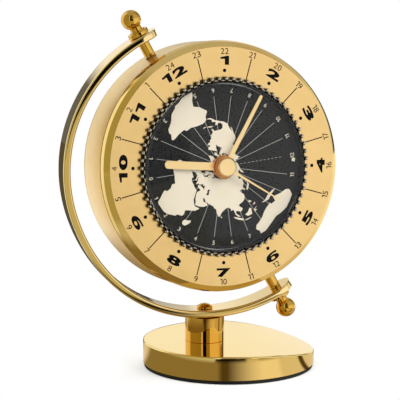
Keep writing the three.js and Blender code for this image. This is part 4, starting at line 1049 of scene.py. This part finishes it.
studio = {
    "floorGrey": "#f6f6f6", "floorSize": 6, "roomTint": "#fffdf8", "diffuseLevel": 0.75, "overhead": 0.5,
    "mirrorLevel": 1.1,
    # between these metres from the middle of the base the camera's floor goes from this share of plain
    # white to all white, which ends the shadow
    "paperStarts": (0.05, 0.08), "paperShare": 0.4,
    # what mirrors see round the horizon: degrees from straight in front to the right, and the colour there
    "room": [(-180, "#f6f3ea"), (-158, "#f6f3ea"), (-154, "#ffffff"), (-114, "#ffffff"), (-106, "#aca67a"),
        (-60, "#a6a070"), (-36, "#a29b6a"), (-31, "#ffffff"), (-27, "#ffffff"), (-24, "#0b0a08"),
        (14, "#0b0a08"), (17, "#fffdf6"), (72, "#ffffff"), (88, "#d8d2ba"), (108, "#ffffff"),
        (112, "#241d10"), (126, "#241d10"), (130, "#efe9d6"), (150, "#f6f3ea"), (180, "#f6f3ea")],
    "frontGap": [(-180, "#000000"), (-5, "#000000"), (-3, "#ffffff"), (13, "#ffffff"), (16, "#000000"),
        (180, "#000000")],
    "frontGapColour": "#a39a6c",
    # the spans are parts of a direction of length 1: upwards in gapTop, dimRise, backTop and
    # overheadStarts, to the right in dimSide and to the back in backSide
    "gapTop": (0.17, 0.22), "overheadStarts": (0.78, 0.9),
    "highShare": 0.62, "dimRise": (0.24, 0.45), "dimSide": (-0.4, -0.2),
    "backShare": 0.14, "backTop": (0.14, 0.19), "backSide": (0.94, 0.965),
    # what they see on the floor close to the clock, round the point that its round foot mirrors towards
    "focus": (-6.4, -23.9),
    # the four tones: brown board, its dark edge, paper in half shade and lit paper
    "nearFloor": [(-180, "#887850"), (-158, "#887850"), (-150, "#d8ccb8"), (-138, "#d8ccb8"),
        (-128, "#887850"), (-30, "#887850"), (-23, "#504020"), (-16, "#504020"), (18, "#d8ccb8"),
        (30, "#ece0cc"), (50, "#ece0cc"), (56, "#d8ccb8"), (81, "#d8ccb8"), (84, "#504020"),
        (89, "#504020"), (92, "#d8ccb8"), (112, "#d8ccb8"), (125, "#887850"), (180, "#887850")],
    # and in three wider rounds, each with the metres over which it takes over
    "middleFloor": [(-180, "#6a624f"), (-153, "#6a624f"), (-147, "#ffffff"), (-121, "#ffffff"),
        (-100, "#b7b39c"), (-31, "#c8c6b8"), (-28, "#0d0b08"), (3, "#0d0b08"), (7, "#c1b587"),
        (17, "#c1b587"), (22, "#7a6c42"), (62, "#7a6c42"), (74, "#fff9e4"), (92, "#e8e1c8"),
        (120, "#ffffff"), (135, "#887850"), (180, "#887850")],
    "farFloor": [(-180, "#544c3c"), (-161, "#544c3c"), (-157, "#ffffff"), (-121, "#ffffff"),
        (-100, "#aca67c"), (-45, "#aca67c"), (-32, "#c1b98c"), (14, "#c1b587"), (19, "#ffffff"),
        (158, "#ffffff"), (164, "#544c3c"), (180, "#544c3c")],
    "outerFloor": [(-180, "#544c3c"), (-163, "#544c3c"), (-158, "#ffffff"), (-121, "#ffffff"),
        (-100, "#aca67c"), (-30, "#b4ae88"), (-24, "#0b0a08"), (14, "#0b0a08"), (19, "#ffffff"),
        (158, "#ffffff"), (164, "#544c3c"), (180, "#544c3c")],
    "middleStarts": (0.13, 0.17), "farStarts": (0.2, 0.24), "outerStarts": (1.5, 1.9),
}


def makeRing(tree, x, y, stops):
    # a ramp read by the direction round the clock, 0 straight in front of the stand and 90 to its right
    toFront = addNode(tree, "ShaderNodeMath", {0: y, 1: -1.0}, operation="MULTIPLY")
    turn = addNode(tree, "ShaderNodeMath", {0: x, 1: toFront.outputs[0]}, operation="ARCTAN2")
    share = addNode(tree, "ShaderNodeMapRange", {
        "Value": turn.outputs[0], 1: -math.pi, 2: math.pi, 3: 0.0, 4: 1.0})
    ramp = addNode(tree, "ShaderNodeValToRGB", {0: share.outputs[0]})
    elements = ramp.color_ramp.elements
    while len(elements) > 1:
        elements.remove(elements[0])
    for i, (degrees, colour) in enumerate(stops):
        place = (degrees + 180) / 360
        stop = elements[0] if i == 0 else elements.new(place)
        stop.position = place
        stop.color = linear(colour)
    return ramp.outputs[0]


def spanOf(key, first=0.0, last=1.0):
    # inputs of a Map Range node that goes from first to last over the studio's span of that name
    low, high = studio[key]
    return {1: low, 2: high, 3: first, 4: last}


def seenDirectly(tree, path):
    either = addNode(tree, "ShaderNodeMath", {
        0: path.outputs["Is Camera Ray"], 1: path.outputs["Is Transmission Ray"]}, operation="MAXIMUM")
    return either.outputs[0]


def makeFloor():
    deselectAll()
    bpy.ops.mesh.primitive_plane_add(size=studio["floorSize"], location=(0, 0, 0))
    floor = bpy.context.object
    floor.name = "paleFloor"
    material, tree = newMaterial("paleStudioPaper")
    path = addNode(tree, "ShaderNodeLightPath")
    spot = addNode(tree, "ShaderNodeTexCoord").outputs["Object"]
    x, y = addNode(tree, "ShaderNodeSeparateXYZ", {0: spot}).outputs[:2]
    focus = [-v * mm for v in studio["focus"]] + [0]
    fromFocus = addNode(tree, "ShaderNodeVectorMath", {0: spot, 1: focus}, operation="ADD")
    nearX, nearY = addNode(tree, "ShaderNodeSeparateXYZ", {0: fromFocus.outputs[0]}).outputs[:2]
    away = addNode(tree, "ShaderNodeVectorMath", {0: spot}, operation="LENGTH").outputs["Value"]
    ring = makeRing(tree, nearX, nearY, studio["nearFloor"])
    for zone in ("middle", "far", "outer"):
        fade = addNode(tree, "ShaderNodeMapRange", {"Value": away, **spanOf(zone + "Starts")})
        wider = makeRing(tree, x, y, studio[zone + "Floor"])
        ring = addNode(tree, "ShaderNodeMix", {"Factor": fade.outputs[0], 6: ring, 7: wider},
                       data_type="RGBA").outputs[2]
    skin = addNode(tree, "ShaderNodeBsdfDiffuse", {"Color": linear(studio["floorGrey"])})
    seen = addNode(tree, "ShaderNodeEmission", {"Color": ring, "Strength": studio["mirrorLevel"]})
    shine = addNode(tree, "ShaderNodeMixShader", {
        0: path.outputs["Is Glossy Ray"], 1: skin.outputs[0], 2: seen.outputs[0]})
    # away from the clock the camera sees plain white paper, so only the shadow near the base stays
    far = addNode(tree, "ShaderNodeMapRange", {"Value": away, **spanOf("paperStarts", studio["paperShare"])})
    share = addNode(tree, "ShaderNodeMath", {0: far.outputs[0], 1: seenDirectly(tree, path)},
                    operation="MULTIPLY")
    paper = addNode(tree, "ShaderNodeEmission", {"Color": (1, 1, 1, 1), "Strength": 1.0})
    whole = addNode(tree, "ShaderNodeMixShader", {
        0: share.outputs[0], 1: shine.outputs[0], 2: paper.outputs[0]})
    addNode(tree, "ShaderNodeOutputMaterial", {"Surface": whole.outputs[0]})
    floor.data.materials.append(material)


def makeWorld():
    room = bpy.data.worlds.new("studioRoom")
    room.use_nodes = True
    tree = room.node_tree
    tree.nodes.clear()
    path = addNode(tree, "ShaderNodeLightPath")
    way = addNode(tree, "ShaderNodeTexCoord").outputs["Generated"]
    x, y, z = addNode(tree, "ShaderNodeSeparateXYZ", {0: way}).outputs
    ring = makeRing(tree, x, y, studio["room"])
    # higher up the dark place in front is narrower
    gap = makeRing(tree, x, y, studio["frontGap"])
    lifted = addNode(tree, "ShaderNodeMapRange", {"Value": z, **spanOf("gapTop")})
    part = addNode(tree, "ShaderNodeMath", {0: gap, 1: lifted.outputs[0]}, operation="MULTIPLY")
    ring = addNode(tree, "ShaderNodeMix", {
        "Factor": part.outputs[0], 6: ring, 7: linear(studio["frontGapColour"])}, data_type="RGBA").outputs[2]
    # dimmer higher up except on the left, and one plain level overhead
    side = addNode(tree, "ShaderNodeMapRange", {"Value": x, **spanOf("dimSide", 1.0, studio["highShare"])})
    drop = addNode(tree, "ShaderNodeMapRange", {"Value": z, **spanOf("dimRise", 1.0, side.outputs[0])})
    # low down right behind the clock it is dark, which gives the outlines their darker tone
    back = addNode(tree, "ShaderNodeMapRange", {"Value": y, **spanOf("backSide")})
    low = addNode(tree, "ShaderNodeMapRange", {"Value": z, **spanOf("backTop", studio["backShare"])})
    behind = addNode(tree, "ShaderNodeMix", {"Factor": back.outputs[0], 2: 1.0, 3: low.outputs[0]})
    share = addNode(tree, "ShaderNodeMath", {0: drop.outputs[0], 1: behind.outputs[0]}, operation="MULTIPLY")
    dimmed = addNode(tree, "ShaderNodeVectorMath", {0: ring, "Scale": share.outputs[0]}, operation="SCALE")
    above = addNode(tree, "ShaderNodeMapRange", {"Value": z, **spanOf("overheadStarts")})
    top = [studio["overhead"]] * 3 + [1]
    seen = addNode(tree, "ShaderNodeMix", {"Factor": above.outputs[0], 6: dimmed.outputs[0], 7: top},
                   data_type="RGBA")
    plain = addNode(tree, "ShaderNodeBackground", {
        "Color": linear(studio["roomTint"]), "Strength": studio["diffuseLevel"]})
    mirror = addNode(tree, "ShaderNodeBackground", {
        "Color": seen.outputs[2], "Strength": studio["mirrorLevel"]})
    white = addNode(tree, "ShaderNodeBackground", {"Color": (1, 1, 1, 1), "Strength": 1.0})
    first = addNode(tree, "ShaderNodeMixShader", {
        0: path.outputs["Is Glossy Ray"], 1: plain.outputs[0], 2: mirror.outputs[0]})
    last = addNode(tree, "ShaderNodeMixShader", {
        0: seenDirectly(tree, path), 1: first.outputs[0], 2: white.outputs[0]})
    addNode(tree, "ShaderNodeOutputWorld", {"Surface": last.outputs[0]})
    bpy.context.scene.world = room


# places and sizes in metres
lamps = {
    "keyRight": {"place": (0.55, -0.9, 0.75), "size": 0.6, "watts": 7},
    "fillLeft": {"place": (-0.9, -0.6, 0.6), "size": 0.8, "watts": 4},
    "overhead": {"place": (0.0, 0.1, 1.1), "size": 0.9, "watts": 7},
}
lampTarget = (-0.01, 0, 0.1)


def aimAt(obj, place, target):
    obj.rotation_euler = (target - place).to_track_quat("-Z", "Y").to_euler()


def makeLamps():
    for name, lamp in lamps.items():
        deselectAll()
        bpy.ops.object.light_add(type="AREA", location=lamp["place"])
        obj = bpy.context.object
        obj.name = name
        obj.data.shape = "DISK"
        obj.data.size = lamp["size"]
        obj.data.energy = lamp["watts"]
        aimAt(obj, Vector(lamp["place"]), Vector(lampTarget))
        obj.visible_glossy = False
        obj.visible_transmission = False


camera = {
    "place": (-253.86, -943.34, 240.43), "target": (-16.98, 0.0, 96.93), "lens": 154.9, "sensor": 36,
    "clip": (0.05, 20),  # metres
}


def makeCamera():
    place, target = Vector(camera["place"]) * mm, Vector(camera["target"]) * mm
    bpy.ops.object.camera_add(location=place)
    obj = bpy.context.object
    aimAt(obj, place, target)
    obj.data.lens = camera["lens"]
    obj.data.sensor_width = camera["sensor"]
    obj.data.clip_start, obj.data.clip_end = camera["clip"]
    bpy.context.scene.camera = obj


makeFloor()
makeWorld()
makeLamps()
makeCamera()
bpy.context.scene.view_settings.view_transform = "Standard"
print("studio done")

deselectAll()
